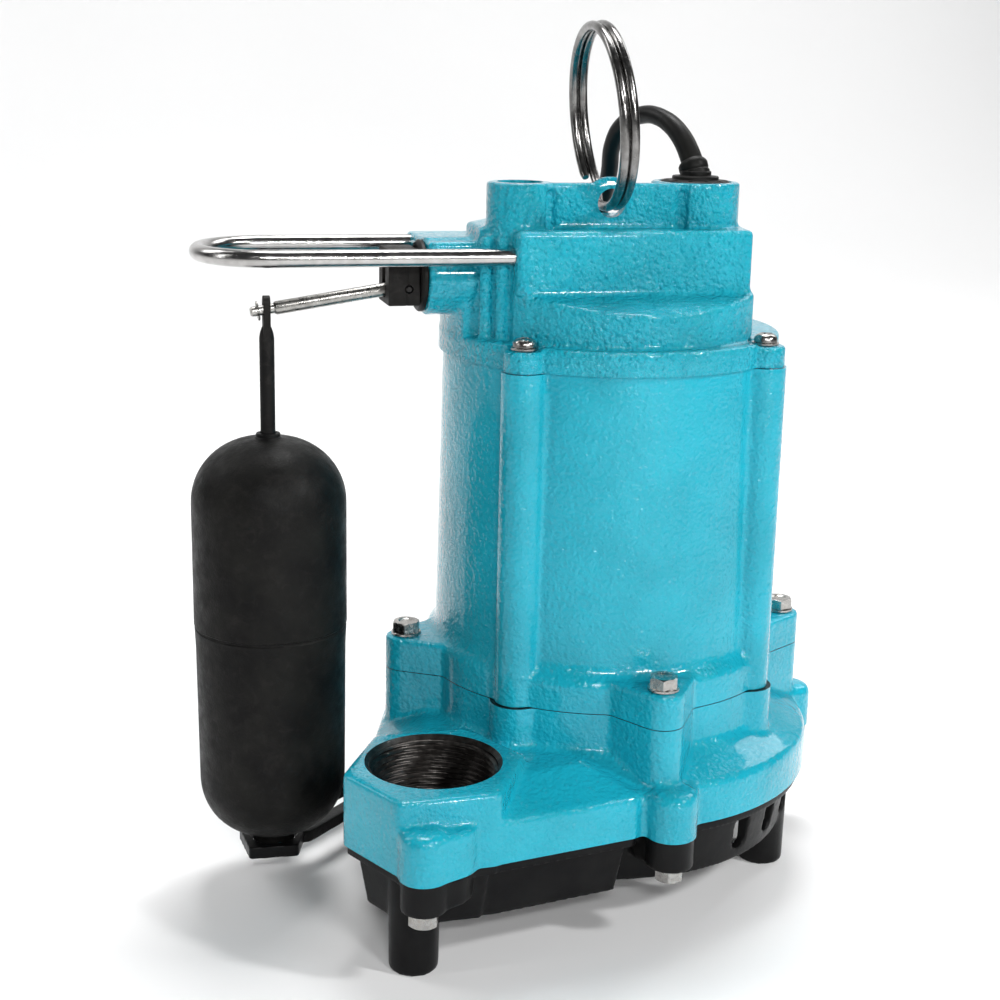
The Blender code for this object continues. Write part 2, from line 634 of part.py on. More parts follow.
def motor_internals():
    hub = (0, 0, 50)
    round_piece("shaft", "steel", [(0, 45.6), (5.0, 45.6), (5.97, 46.6), (5.97, 213.5), (5.2, 214.3),
                                   (0, 214.3)], hub)
    round_piece("rotor_core", "lamination", [(6.3, 112), (14, 112), (14, 117), (29.7, 117), (29.7, 179),
                                             (14, 179), (14, 184), (6.3, 184)], hub)
    round_piece("seal_head", "rubber", [(6.3, 56.6), (11, 56.6), (11, 61.5), (9.6, 63.6), (6.3, 63.6)], hub)
    round_piece("stator_core", "lamination", [(30.6, 118), (59.5, 118), (59.5, 178), (30.6, 178)])
    round_piece("upper_winding", "copper", [(34, 178.4), (54, 178.4), (54, 190), (50, 194.5), (38, 194.5),
                                            (34, 190)])
    round_piece("lower_winding", "copper", [(34, 117.6), (34, 106), (38, 101.5), (50, 101.5), (54, 106),
                                            (54, 117.6)])
    round_piece("upper_bearing", "steel", [(6.4, 200.8), (16, 200.8), (16, 210.6), (6.4, 210.6)])
    round_piece("bearing_bracket", "iron", [(8, 196.6), (59.5, 196.6), (59.5, 200.2), (21, 200.2), (21, 210),
                                            (16.4, 210), (16.4, 200.5), (8, 200.5)])
    round_piece("seal_plate", "iron", [(8.3, 69.6), (13.2, 69.6), (13.2, 64.0), (23.6, 64.0), (23.6, 74.3),
                                       (57.5, 74.3), (57.5, 86.0), (16.5, 86.0), (16.5, 76.9), (8.3, 76.9)])
    round_piece("lower_bearing", "steel", [(6.4, 77.2), (16.1, 77.2), (16.1, 87.2), (6.4, 87.2)])
    round_piece("seal_seat", "ceramic", [(6.7, 64.2), (12.8, 64.2), (12.8, 69.3), (6.7, 69.3)])
    round_piece("cover_gasket", "gasket", [(60.2, 208.5), (63.2, 208.5), (63.2, 208.9), (60.2, 208.9)])
    round_piece("volute_gasket", "gasket", [(60.6, 82.7), (69.6, 82.7), (69.6, 83.2), (60.6, 83.2)])
    case = polygon_levels([(10, 8), (32, 8), (32, 22), (10, 22)], 2.0)
    place(loft("overload_protector", eased(case, 211.0, 221.0, 1.0)), "plastic")


# ---------------------------------------------------------------- switch and float

ARM_WAY = (-math.cos(ARM_DROOP), 0.0, -math.sin(ARM_DROOP))


def switch_pieces():
    y, z = SWITCH_AXIS
    body = along(prism("switch_body", disc(0, 0, 11.7), 0, 29), (SWITCH_FACE_X + GAP, y, z), (1, 0, 0))
    join(body, box("case", (-49.0, y - 11.0, 228.0), (-24.0, y + 11.0, 250.0)))
    cut(body, along(prism("guide", disc(0, 0, 2.3), 0, 14), (SWITCH_FACE_X - 2, y, PIVOT[2]), (1, 0, 0)))
    place(body, "plastic")

    flange = 2.2
    ring = turned("switch_gland", [(3.0, 0), (13.4, 0), (13.4, 1.4), (12.6, flange), (3.0, flange)])
    along(ring, (SWITCH_FACE_X - GAP, y, z), (-1, 0, 0))
    cut(ring, along(prism("way", disc(0, 0, 3.4), 0, 8), (SWITCH_FACE_X + 2, y, PIVOT[2]), (-1, 0, 0)))
    place(ring, "rubber")

    left = -91.2
    right = SWITCH_FACE_X - flange - 2 * GAP
    half = 10.0
    low, high = 229.3, 249.8
    outline = [(left, y - half), (right, y - half), (right, y + half), (left, y + half)]
    block = prism("switch_block", outline, low, high)
    cut(block, box("arm_slot", (left - 2, y - 3.2, low + 2.2), (SWITCH_FACE_X - 3.8, y + 3.2, high - 5.8)))
    cut(block, along(prism("pin_hole", disc(0, 0, 1.6), 0, 30), (PIVOT[0], y - 15, PIVOT[2]), (0, 1, 0)))
    cut(block, along(prism("way", disc(0, 0, 2.3), 0, 12), (PIVOT[0] + 1, y, PIVOT[2]), (1, 0, 0)))
    place(block, "plastic")

    pin = along(prism("arm_pin", disc(0, 0, 1.25), 0, 20.8), (PIVOT[0], y - 10.4, PIVOT[2]), (0, 1, 0))
    place(pin, "steel")

    tip = (SWITCH_FACE_X - 3.5, y, PIVOT[2])
    plunger = along(turned("switch_plunger", [(0, 0), (1.2, 0), (1.9, 0.7), (1.9, 13.0), (0, 13.0)]),
                    tip, (1, 0, 0))
    place(plunger, "steel", tip)


def float_arm():
    arm = along(turned("float_arm", [(0, 0), (ARM_R, 0), (ARM_R, 48.4), (2.2, 49.2), (1.85, 49.2),
                                     (1.85, 57.6), (1.4, 58.1), (0, 58.1)]), PIVOT, ARM_WAY)
    hub = along(prism("hub", disc(0, 0, 3.0), 0, 5.6), (PIVOT[0], PIVOT[1] - 2.8, PIVOT[2]), (0, 1, 0))
    join(arm, hub)
    cut(arm, along(prism("eye", disc(0, 0, 1.5), 0, 12), (PIVOT[0], PIVOT[1] - 6, PIVOT[2]), (0, 1, 0)))
    place(arm, "steel", PIVOT)
    clip = turned("arm_clip", [(2.05, 54.9), (3.6, 54.9), (3.6, 55.7), (2.05, 55.7)])
    place(along(clip, PIVOT, ARM_WAY), "steel", PIVOT)


def arc_points(centre_r, centre_z, width, height, first, last, count):
    """Profile points of an arc of an ellipse, by the angles of its first and last points."""
    angles = [math.radians(first + (last - first) * k / count) for k in range(count + 1)]
    return [(centre_r + width * math.cos(a), centre_z + height * math.sin(a)) for a in angles]


def float_pieces():
    pin = (FLOAT_X, FLOAT_Y, FLOAT_PIN_Z)
    centre = (FLOAT_X, FLOAT_Y)
    stub_r, neck_r, socket_r = 8.0, 4.6, 3.2
    socket_floor = FLOAT_TOP - 9.0
    low_r = FLOAT_R - 1.0
    low = FLOAT_BOTTOM + 23.0
    high = FLOAT_TOP - 24.5
    outer = [(stub_r, STUB_BOTTOM), (stub_r, FLOAT_BOTTOM + 0.6)]
    outer += arc_points(stub_r, low, low_r - stub_r, 22.4, -72, 0, 3)
    outer += [(FLOAT_R, FLOAT_SEAM)]
    outer += arc_points(neck_r, high, FLOAT_R - neck_r, 24.5, 0, 75, 4)
    outer += [(neck_r, FLOAT_TOP), (neck_r, FLOAT_TOP + 2.0), (socket_r, FLOAT_TOP + 2.0),
              (socket_r, socket_floor)]
    vent_r = 1.5
    room_r = FLOAT_R - FLOAT_WALL - vent_r
    roof = socket_floor - FLOAT_WALL - high
    inner = arc_points(vent_r, high, room_r, roof, 90, 0, 2)
    inner += arc_points(vent_r, low, room_r - 1.0, low - FLOAT_BOTTOM - FLOAT_WALL, 0, -90, 2)
    inner += [(vent_r, STUB_BOTTOM)]
    place(turned("float", outer + inner, centre), "plastic", pin)

    rod_r, tab_low, tab_top = 2.8, FLOAT_PIN_Z - 11.5, FLOAT_PIN_Z + 2.4
    foot = socket_floor + GAP
    rod = turned("float_rod", [(0, foot), (rod_r, foot), (rod_r, tab_low + 2.0), (1.8, tab_low + 6.0),
                               (0, tab_low + 6.0)], centre)
    crown = arc_points(0.0, tab_top, rod_r, rod_r, 0, 180, 6)
    tab = prism("tab", [(-rod_r, tab_low), (rod_r, tab_low)] + crown, -1.3, 1.3)
    stand = Matrix(((0, 0, 1, FLOAT_X * MM), (1, 0, 0, FLOAT_Y * MM), (0, 1, 0, 0), (0, 0, 0, 1)))
    join(rod, turn_to(tab, stand))
    cut(rod, along(prism("eye", disc(0, 0, 2.35), -6, 6), pin, (1, 0, 0)))
    place(rod, "plastic", pin)


def float_guide():
    bolt = Vector(BASE_LOBES["left"][:2])
    hole = Vector((FLOAT_X, FLOAT_Y))
    way = (bolt - hole).normalized()
    side = Vector((-way.y, way.x))
    pad = polygon_levels([(FLOAT_X - 13.0, FLOAT_Y + 8.0), (FLOAT_X - 11.0, FLOAT_Y - 12.0),
                          (FLOAT_X + 8.0, FLOAT_Y - 13.0), (FLOAT_X + 15.0, FLOAT_Y + 9.0),
                          (FLOAT_X + 6.0, FLOAT_Y + 14.0)], 1.5)
    guide = prism("float_guide", pad(0.0), GUIDE_LOW, GUIDE_HIGH)
    near = hole + way * 6
    far = bolt + way * 9
    bar = polygon_levels([tuple(near + side * 11), tuple(near - side * 11), tuple(far - side * 10),
                          tuple(far + side * 10)], 5.0)
    join(guide, prism("bar", bar(0.0), GUIDE_LOW, GUIDE_HIGH))
    slot_start = hole + way * 17.0
    slot_end = bolt - way * 9.0
    slot = polygon_levels([tuple(slot_start + side * 4.4), tuple(slot_start - side * 4.4),
                           tuple(slot_end - side * 4.4), tuple(slot_end + side * 4.4)], 4.2)
    cut(guide, prism("slot", slot(0.0), GUIDE_LOW - 1, GUIDE_HIGH + 1))
    cut(guide, prism("eye", disc(FLOAT_X, FLOAT_Y, GUIDE_EYE_R), GUIDE_LOW - 1, GUIDE_HIGH + 1))
    cut(guide, prism("bolt_hole", disc(bolt.x, bolt.y, 3.6), GUIDE_LOW - 1, GUIDE_HIGH + 1))
    place(guide, "plastic")


def guard_rod():
    bend_r = (GUARD_REAR_Y - GUARD_FRONT_Y) / 2
    mid_y = (GUARD_REAR_Y + GUARD_FRONT_Y) / 2
    points = [(GUARD_FRONT_END, GUARD_FRONT_Y, GUARD_Z)]
    for k in range(13):
        angle = math.radians(270 - 15 * k)
        points.append((GUARD_BEND_X + bend_r * math.cos(angle), mid_y + bend_r * math.sin(angle), GUARD_Z))
    points.append((SWITCH_FACE_X + GUARD_REAR_DEPTH, GUARD_REAR_Y, GUARD_Z))
    place(wire("guard_rod", points, GUARD_WIRE_R), "steel")


def lift_ring():
    """Two turns of spring wire lying side by side, made as one ring with a waisted section."""
    section = []
    for side in (1, -1):
        for k in range(4):
            angle = math.radians(-66 + 44 * k)
            section.append((side * (RING_WIRE_R + RING_WIRE_R * math.cos(angle)),
                            side * RING_WIRE_R * math.sin(angle)))
    profile = [(RING_MEAN_R + height, across) for across, height in section]
    ring = turned("lift_ring", profile, count=32)
    upright = Matrix.Rotation(math.radians(90), 4, "Y")
    lift = Matrix.Translation(Vector((0, 0, RING_MEAN_R)) * MM)
    lean = Matrix.Rotation(RING_YAW, 4, "Z") @ Matrix.Rotation(RING_LEAN, 4, "Y")
    turn_to(ring, Matrix.Translation(Vector(RING_PIVOT) * MM) @ lean @ lift @ upright)
    place(ring, "steel", RING_PIVOT)


# ---------------------------------------------------------------- fasteners and plugs

def fasteners():
    for index in range(4):
        x, y = quarter(index, COVER_SCREW_R)
        low = LUG_TOP + GAP
        profile = [(0, low - 20), (2.3, low - 20), (2.3, low), (5.0, low), (5.0, low + 0.8), (4.3, low + 0.9),
                   (4.3, low + 2.2), (3.6, low + 3.5), (2.0, low + 4.1), (0, low + 4.2)]
        screw = turned(f"cover_screw_{index + 1}", profile, (x, y))
        for turn in (0, 90):
            bar = box("recess", (-2.2, -0.45, low + 2.6), (2.2, 0.45, low + 6))
            spin = Matrix.Rotation(math.radians(turn + 20 + 9 * index), 4, "Z")
            cut(screw, turn_to(bar, Matrix.Translation(Vector((x, y, 0)) * MM) @ spin))
        place(screw, "steel")
    for index in range(4):
        x, y = quarter(index, HOUSING_BOLT_R, 0)
        hex_bolt(f"housing_bolt_{index + 1}", x, y, FLANGE_TOP - 0.4 + GAP, 1, -25.0, 0.3 + index)
    for index, (key, (x, y, radius)) in enumerate(BASE_LOBES.items()):
        level = GUIDE_LOW - GAP if key == "left" else BOSS_BOTTOM - GAP
        hex_bolt(f"base_bolt_{index + 1}", x, y, level, -1, RIM_TOP - 8.0 - level, 0.2 + index)


def hex_bolt(name, x, y, seat, side, shank, start):
    """A washer-faced hexagon bolt; side is +1 with its head up and -1 with its head down."""
    bolt = turned(name, [(0, seat), (5.9, seat), (5.9, seat + side * 1.0), (0, seat + side * 1.0)], (x, y))
    head = eased(lambda depth: disc(x, y, 5.7 - depth, 6, start), 0.0, 4.3, 0.5, 2)
    join(bolt, loft("head", [(outline, seat + side * (0.9 + z)) for outline, z in head]))
    join(bolt, prism("shank", disc(x, y, 3.0), min(seat, seat + shank), max(seat, seat + shank)))
    place(bolt, "steel")


def port_plug():
    x, y, radius = LEFT_BOSS
    profile = [(0, 262), (6.1, 262), (6.1, CROWN_TOP - 6.7), (8.1, CROWN_TOP - 6.7), (8.1, CROWN_TOP - 1.6),
               (7.4, CROWN_TOP - 1.0), (3.4, CROWN_TOP - 1.0), (3.4, CROWN_TOP - 5.0), (0, CROWN_TOP - 5.0)]
    place(turned("port_plug", profile, (x, y)), "rubber")


# ---------------------------------------------------------------- power cord

def cord_route():
    """From the gland's dome, over the crown, down behind the pump, to the coil's edge."""
    heading = Vector((math.cos(CORD_HEADING), math.sin(CORD_HEADING), 0.0))
    upward = Vector((0.0, 0.0, 1.0))
    tilt = heading * math.sin(CORD_TILT) + upward * math.cos(CORD_TILT)
    leave = Vector((*GLAND, GLAND_DOME_Z)) + tilt * (GLAND_NUT_R + GAP)
    arch = []
    for k in range(8):
        turn = CORD_TILT + math.radians(15 * k)
        forward = CORD_BEND_R * (math.cos(CORD_TILT) - math.cos(turn))
        rise = CORD_BEND_R * (math.sin(turn) - math.sin(CORD_TILT))
        arch.append(tuple(leave + heading * forward + upward * rise))
    reach = COIL_OUTER_R + CORD_D / 2 + 2 * GAP
    meet = math.radians(-75)
    floor = CORD_D / 2 + 0.2
    last = (COIL[0] + reach * math.cos(meet), COIL[1] + reach * math.sin(meet), floor)
    return arch + [
        (7.3, 43.8, 271.4),
        (6.2, 51.6, 259.6),
        (4.8, 60.8, 243.0),
        (3.2, 70.8, 222.0),
        (1.6, 77.5, 198.0),
        (0.0, 84.5, 165.0),
        (-2.0, 92.4, 128.0),
        (-3.5, 99.8, 94.0),
        (-3.5, 104.8, 62.0),
        (-2.0, 107.2, 41.7),
        (3.1, 108.8, 22.7),
        (17.0, 109.2, 8.8),
        (36.0, 109.4, floor),
        last,
    ]


def split_route(points, length):
    """Cut a line of evenly spaced points at a distance from its start."""
    run = 0.0
    for index, (a, b) in enumerate(zip(points, points[1:])):
        step = (b - a).length
        if run + step >= length:
            middle = a.lerp(b, (length - run) / step)
            return points[:index + 1] + [middle], [middle] + points[index + 1:]
        run += step
    return points, []


def tail_points():
    """The free end, lying on the coil and rising into the back of the plug."""
    climb = math.radians(62)
    low = COIL_TOP + CORD_D / 2 + GAP
    high = COIL_TOP + PLUG_SIZE[2] / 2 + GAP
    points = []
    for k in range(15):
        angle = TAIL_START + (PLUG_BACK - TAIL_START) * k / 14
        t = max(0.0, 1.0 - (PLUG_BACK - angle) / climb)
        lift = (high - low) * t * t * (3 - 2 * t)
        points.append(Vector((COIL[0] + COIL_TURN_R * math.cos(angle),
                              COIL[1] + COIL_TURN_R * math.sin(angle), low + lift)))
    return points + [points[-1] + 2.0 * PLUG_WAY]


def cord():
    gland = [(0, 262), (7.4, 262), (7.4, 272.3), (13.2, 272.3), (13.2, 275.0), (12.4, 275.6), (8.8, 275.8),
             (8.8, 277.0), (GLAND_NUT_R, 277.2)]
    for k in range(4):
        lift = math.radians(30 * k)
        gland.append((GLAND_NUT_R * math.cos(lift), GLAND_DOME_Z + GLAND_NUT_R * math.sin(lift)))
    gland[-1] = (0, gland[-1][1])
    place(turned("cord_gland", gland, GLAND), "rubber")

    route = smooth_path(cord_route(), CORD_STEP)
    sleeve, rest = split_route(route, RELIEF_LENGTH)
    relief = wire("strain_relief", sleeve, CORD_D / 2)
    points = relief.data.splines[0].points
    for index, point in enumerate(points):
        point.radius = 1.32 - 0.28 * index / (len(points) - 1)
    place(relief, "rubber")

    rest = split_route(rest, 2 * GAP)[1]
    thinned = rest[:2] + rest[2:-2:CORD_STRIDE] + rest[-2:]
    place(wire("power_cord", thinned, CORD_D / 2), "rubber")
    profile = [(COIL_INNER_R, COIL_LIFT), (COIL_OUTER_R, COIL_LIFT), (COIL_OUTER_R, COIL_TOP),
               (COIL_INNER_R, COIL_TOP)]
    place(turned("cord_coil", profile, COIL), "rubber")

    tail = tail_points()
    place(wire("cord_tail", tail, CORD_D / 2 - 0.05), "rubber")
    plug(tail)
    coil_tie()


def plug(tail):
    """A moulded three-pin plug lying on the coil, in line with the end of the cord."""
    turn = Vector((1, 0, 0)).rotation_difference(PLUG_WAY).to_matrix().to_4x4()
    base = Matrix.Translation((tail[-1] + GAP * PLUG_WAY) * MM) @ turn
    length, width, height = PLUG_SIZE
    half = height / 2
    shape = polygon_levels([(0, -width / 2 + 5), (length - 8, -width / 2), (length, -width / 2),
                            (length, width / 2), (length - 8, width / 2), (0, width / 2 - 5)], 2.0)
    levels = [(shape(2.0), -half), (shape(0.5), -half + 1.5), (shape(0.0), -half + 3.5),
              (shape(0.0), half - 3.5), (shape(0.5), half - 1.5), (shape(2.0), half)]
    body = loft("plug_body", levels)
    pins = {"plug_blade_1": (5.6, 4.8), "plug_blade_2": (-7.1, 4.8)}
    ground_z = -7.1
    sockets = []
    for name, (y, z) in pins.items():
        low = (length - 3.0, y, -3.15 + z)
        sockets.append((name, low, (length + 16.0, y + 1.5, 3.15 + z)))
    for name, low, high in sockets:
        grown = box("socket", tuple(c - GAP for c in low), tuple(c + GAP for c in high))
        cut(body, grown)
    pin = turned("plug_ground_pin", [(0, 0), (2.4, 0), (2.4, 15.0), (1.6, 17.6), (0, 18.4)])
    along(pin, (length - 3.0, 0.0, ground_z), (1, 0, 0))
    hole = prism("hole", disc(0, 0, 2.4 + GAP), 0, 12)
    along(hole, (length - 3.0 - GAP, 0.0, ground_z), (1, 0, 0))
    cut(body, hole)
    place(turn_to(body, base), "rubber")
    for name, low, high in sockets:
        place(turn_to(box(name, low, high), base), "brass")
    place(turn_to(pin, base), "brass")


def coil_tie():
    outer = (COIL_OUTER_R - COIL_INNER_R) / 2 + GAP + 1.0
    inner = outer - 1.0
    low = COIL_LIFT - GAP - 0.8
    high = COIL_TOP + CORD_D + 2 * GAP
    tie = box("coil_tie", (COIL_TURN_R - outer, -3.0, low), (COIL_TURN_R + outer, 3.0, high + 0.8))
    cut(tie, box("inside", (COIL_TURN_R - inner, -5.0, low + 0.8), (COIL_TURN_R + inner, 5.0, high)))
    stand = Matrix.Translation(Vector((*COIL, 0)) * MM) @ Matrix.Rotation(math.radians(180), 4, "Z")
    place(turn_to(tie, stand), "rubber")


for leftover in list(bpy.data.objects):
    bpy.data.objects.remove(leftover)
PUMP = bpy.data.objects.new("motor_axis", None)
PUMP.location = Vector(MOTOR_AXIS) * MM
bpy.context.collection.objects.link(PUMP)

cover()
motor_housing()
volute_casing()
strainer_base()
impeller()
motor_internals()
switch_pieces()
float_arm()
float_pieces()
float_guide()
guard_rod()
lift_ring()
fasteners()
port_plug()
cord()
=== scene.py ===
import math

import bmesh
import bpy
from mathutils import Matrix, Vector


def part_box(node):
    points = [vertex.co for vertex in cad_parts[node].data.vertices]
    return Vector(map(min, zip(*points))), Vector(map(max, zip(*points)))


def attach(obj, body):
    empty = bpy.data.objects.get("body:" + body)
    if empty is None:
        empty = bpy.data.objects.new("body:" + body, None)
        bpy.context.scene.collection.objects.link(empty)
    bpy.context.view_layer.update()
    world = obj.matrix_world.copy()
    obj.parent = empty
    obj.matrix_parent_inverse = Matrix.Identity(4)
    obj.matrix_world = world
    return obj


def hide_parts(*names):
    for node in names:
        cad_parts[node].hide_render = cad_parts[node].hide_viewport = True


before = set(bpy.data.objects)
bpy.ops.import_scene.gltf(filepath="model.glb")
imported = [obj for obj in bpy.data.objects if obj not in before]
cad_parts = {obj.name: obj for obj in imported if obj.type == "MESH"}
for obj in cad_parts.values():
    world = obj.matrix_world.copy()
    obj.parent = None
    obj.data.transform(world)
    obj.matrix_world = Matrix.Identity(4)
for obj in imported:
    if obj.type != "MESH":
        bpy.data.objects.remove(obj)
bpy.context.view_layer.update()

# Lengths are millimetres about the motor axis until a piece is finished, which puts it into the frame.
MM = 0.001
GAP = 0.3
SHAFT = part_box("shaft")
AXIS = Vector(((SHAFT[0].x + SHAFT[1].x) / 2, (SHAFT[0].y + SHAFT[1].y) / 2, 0.0))
TO_FRAME = Matrix.Translation(AXIS) @ Matrix.Scale(MM, 4)


def span(node):
    """Lowest and highest corner of a CAD node, in millimetres about the motor axis."""
    low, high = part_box(node)
    return (low - AXIS) / MM, (high - AXIS) / MM


# ---- levels and places

COVER_LOW = span("cover")[0].z
HOUSING_LOW, HOUSING_HIGH = span("motor_housing")[0].z, span("motor_housing")[1].z
VOLUTE_LOW, VOLUTE_HIGH = span("volute_casing")[0].z, span("volute_casing")[1].z
BASE_HIGH = span("strainer_base")[1].z
SKIRT_LOW, LIP_LOW, BOSS_LOW = 19.0, 38.8, 30.6
RIM_TOP, DISCHARGE_TOP, FLANGE_TOP = 60.0, 70.6, 96.0
BAND_TOP, LUG_TOP, BOX_TOP, CROWN_TOP = 218.0, 216.8, 258.6, 275.0

RIM_R, CHAMBER_R, WAIST_R = 86.5, 52.0, 70.5
WALL_R_LOW, WALL_R_HIGH, BORE_R, BAND_R = 66.5, 64.8, 60.0, 66.5
COVER_SCREW_R, COVER_LUG_R, COLUMN_R = 66.0, 7.6, 9.0
SCREW_HOLE_R, BOLT_HOLE_R = 2.7, 3.3
COVER_SEAT_R, VOLUTE_SEAT_R = 63.5, 69.9
HOUSING_BOLT_R, HOUSING_LOBE_R = 80.0, 8.2
BASE_LOBES = {"corner": (-94.5, -105.0, 9.0), "front": (1.5, -90.5, 9.6), "right": (88.8, 4.5, 9.4),
              "back": (6.0, 90.2, 9.4), "left": (-68.0, 54.0, 9.4)}
FEET = {"corner": (-94.5, -88.6), "right": (63.5, -33.0), "back": (-14.0, 70.0)}
FOOT_R = 9.0

PORT = (-83.6, -69.5)
PORT_BORE_R, PORT_MOUTH_R = 23.6, 25.2
THREAD_PITCH, THREAD_DEPTH, THREAD_SLEEVE = 2.209, 1.3, 0.3
PORT_HEX = [(-118.1, -74.0), (-103.2, -103.4), (-66.5, -102.6), (-49.0, -71.0), (-64.0, -40.0),
            (-100.2, -40.4)]
VOLUTE_NECK = [(0.0, 0.0), (-85.0, 18.0), (-94.0, -10.0), (-104.0, -45.0), (-110.0, -82.0),
               (-102.0, -99.0), (-66.0, -101.6), (-10.0, -91.4)]

SWITCH_AXIS = (-8.0, 239.3)
SWITCH_FACE_X = -76.4
PIVOT = Vector((-83.3, -8.0, 235.4))
ARM_DROOP = math.radians(8.8)
ARM_WAY = Vector((-math.cos(ARM_DROOP), 0.0, -math.sin(ARM_DROOP)))
ARM_REACH, ARM_R = 52.1, 2.5
PIN = PIVOT + ARM_REACH * ARM_WAY
FLOAT_R, FLOAT_BOTTOM, FLOAT_TOP, FLOAT_SEAM, STUB_BOTTOM = 29.2, 21.5, 179.2, 106.8, 11.6
GUIDE_LOW, GUIDE_HIGH, GUIDE_EYE_R = 13.4, 18.2, 9.6

GUARD_Z, GUARD_FRONT_Y, GUARD_REAR_Y, GUARD_BEND_X, GUARD_WIRE_R = 249.0, -35.6, 16.8, -133.0, 3.1
GUARD_FRONT_END, GUARD_REAR_DEPTH, GUARD_POCKET = -43.5, 13.6, 16.0
RING_HOLE = (-10.2, 267.8, 5.3)
RING_WIRE_R, RING_MEAN_R = 1.75, 32.2
RING_PIVOT = Vector((-10.6, -27.8, 266.6))
RING_YAW = math.radians(-1.2)
RING_LEAN = math.radians(-6)
RING_CUT = math.radians(44)

COVER_BOX = [(-48.5, -41.5), (42.0, -41.5), (45.0, -20.0), (45.0, 20.0), (30.0, 38.0), (-28.0, 38.0),
             (-48.0, 14.0), (-58.0, 0.0), (-58.0, -22.0), (-48.5, -31.5)]
PANEL_Y, PANEL_LOW = -41.5, 235.6
BULGE_R, BULGE_SLOPE = 60.3, math.radians(15.4)
LEFT_BOSS = (-43.1, -22.0, 12.3)
CROWN_FRONT_Y, CROWN_BACK_Y = -30.0, -25.0
RIBS, RIB_R = ((-51.6, -31.0), (-56.4, -26.2)), 2.4
VALLEYS_X, VALLEY_R = (-33.4, 17.0), 2.3
SWITCH_BOSS_R, SWITCH_BORE_R, PEDESTAL_TOP = 14.6, 12.0, 243.4
LEDGE_LOW, LEDGE_TOP = 242.0, 252.8

CORD_D = 7.0
GLAND = (27.0, -17.0)
RIGHT_BOSS = (*GLAND, 16.8)
GLAND_NUT_R, GLAND_DOME_Z = 5.6, 277.9
CORD_TILT, CORD_BEND_R, CORD_HEADING = math.radians(30), 31.0, math.radians(109)
RELIEF_LENGTH, RELIEF_ROOT, RELIEF_STEP = 24.0, 3.5, 0.6
COIL = (52.0, 168.0)
COIL_TURN_R = 42.0
COIL_LIFT = 1.2
COIL_OUTER_R = COIL_TURN_R + 1.5 * CORD_D
COIL_TOP = COIL_LIFT + 3 * CORD_D
COIL_EDGE_R = COIL_OUTER_R + CORD_D / 2 + 2 * GAP
CORD_FLOOR_Z = CORD_D / 2 + 0.5
PLUG_BACK = math.radians(290)
PLUG_WAY = Vector((-math.sin(PLUG_BACK), math.cos(PLUG_BACK), 0.0))
PLUG_SIZE = (34.0, 26.0, 22.0)
PLUG_START, TAIL_LENGTH = 2.3, 5.0
BLADE_X, BLADE_Y, GROUND_Y = 6.35, 4.8, -7.1


# ---- outlines

def facets(radius):
    return max(16, 4 * round(6 + radius ** 0.5 * 3))


def disc(x, y, radius, count=None, start=0.0):
    count = count or facets(radius)
    angles = [start + 2 * math.pi * i / count for i in range(count)]
    return [(x + radius * math.cos(a), y + radius * math.sin(a)) for a in angles]


def rectangle(width, height):
    x, y = width / 2, height / 2
    return [(-x, -y), (x, -y), (x, y), (-x, y)]


def inset(points, distance):
    """Move every edge of a counter-clockwise convex outline inwards by a distance."""
    moved = []
    for i, point in enumerate(points):
        before = (Vector(point) - Vector(points[i - 1])).normalized()
        after = (Vector(points[(i + 1) % len(points)]) - Vector(point)).normalized()
        normal = Vector((-before.y - after.y, before.x + after.x)).normalized()
        half = math.sqrt(max(1e-9, (1 + before.dot(after)) / 2))
        moved.append(tuple(Vector(point) + normal * distance / half))
    return moved


def rounded(points, radius):
    """Round the corners of a counter-clockwise convex outline."""
    steps = 6
    outline = []
    for i, point in enumerate(points):
        corner = Vector(point)
        before = (Vector(points[i - 1]) - corner).normalized()
        after = (Vector(points[(i + 1) % len(points)]) - corner).normalized()
        half = math.acos(max(-1.0, min(1.0, before.dot(after)))) / 2
        centre = corner + (before + after).normalized() * radius / math.sin(half)
        reach = radius / math.tan(half)
        first = corner + before * reach - centre
        last = corner + after * reach - centre
        start = math.atan2(first.y, first.x)
        sweep = (math.atan2(last.y, last.x) - start + math.pi) % (2 * math.pi) - math.pi
        for k in range(steps + 1):
            angle = start + sweep * k / steps
            outline.append((centre.x + radius * math.cos(angle), centre.y + radius * math.sin(angle)))
    return outline


def counter_clockwise(points):
    area = sum(points[i - 1][0] * p[1] - p[0] * points[i - 1][1] for i, p in enumerate(points))
    return points if area > 0 else points[::-1]


def polygon_levels(points, corner):
    """Give a function from an inset to the rounded outline at that inset."""
    base = counter_clockwise(points)
    return lambda depth: rounded(inset(base, depth), max(corner - depth, 0.6))


def disc_levels(x, y, radius):
    count = facets(radius)
    return lambda depth: disc(x, y, radius - depth, count)


def eased(shape, low, high, ease):
    """Levels of a prism whose top edge is rounded with the radius ease."""
    steps = 4
    levels = [(shape(0.0), low)]
    for k in range(steps + 1):
        angle = math.pi / 2 * k / steps
        levels.append((shape(ease * (1 - math.cos(angle))), high - ease * (1 - math.sin(angle))))
    return levels


def hull(*discs):
    """The tight outline round some discs, each given as x, y and radius."""
    points = sorted({(round(x, 6), round(y, 6)) for spot in discs for x, y in disc(*spot)})
    outline = []
    for row in (points, points[::-1]):
        side = []
        for x, y in row:
            while len(side) > 1 and ((side[-1][0] - side[-2][0]) * (y - side[-2][1])
                                     <= (side[-1][1] - side[-2][1]) * (x - side[-2][0])):
                side.pop()
            side.append((x, y))
        outline += side[:-1]
    return outline


def quarter(index, radius, start=45.0):
    angle = math.radians(start + 90 * index)
    return radius * math.cos(angle), radius * math.sin(angle)


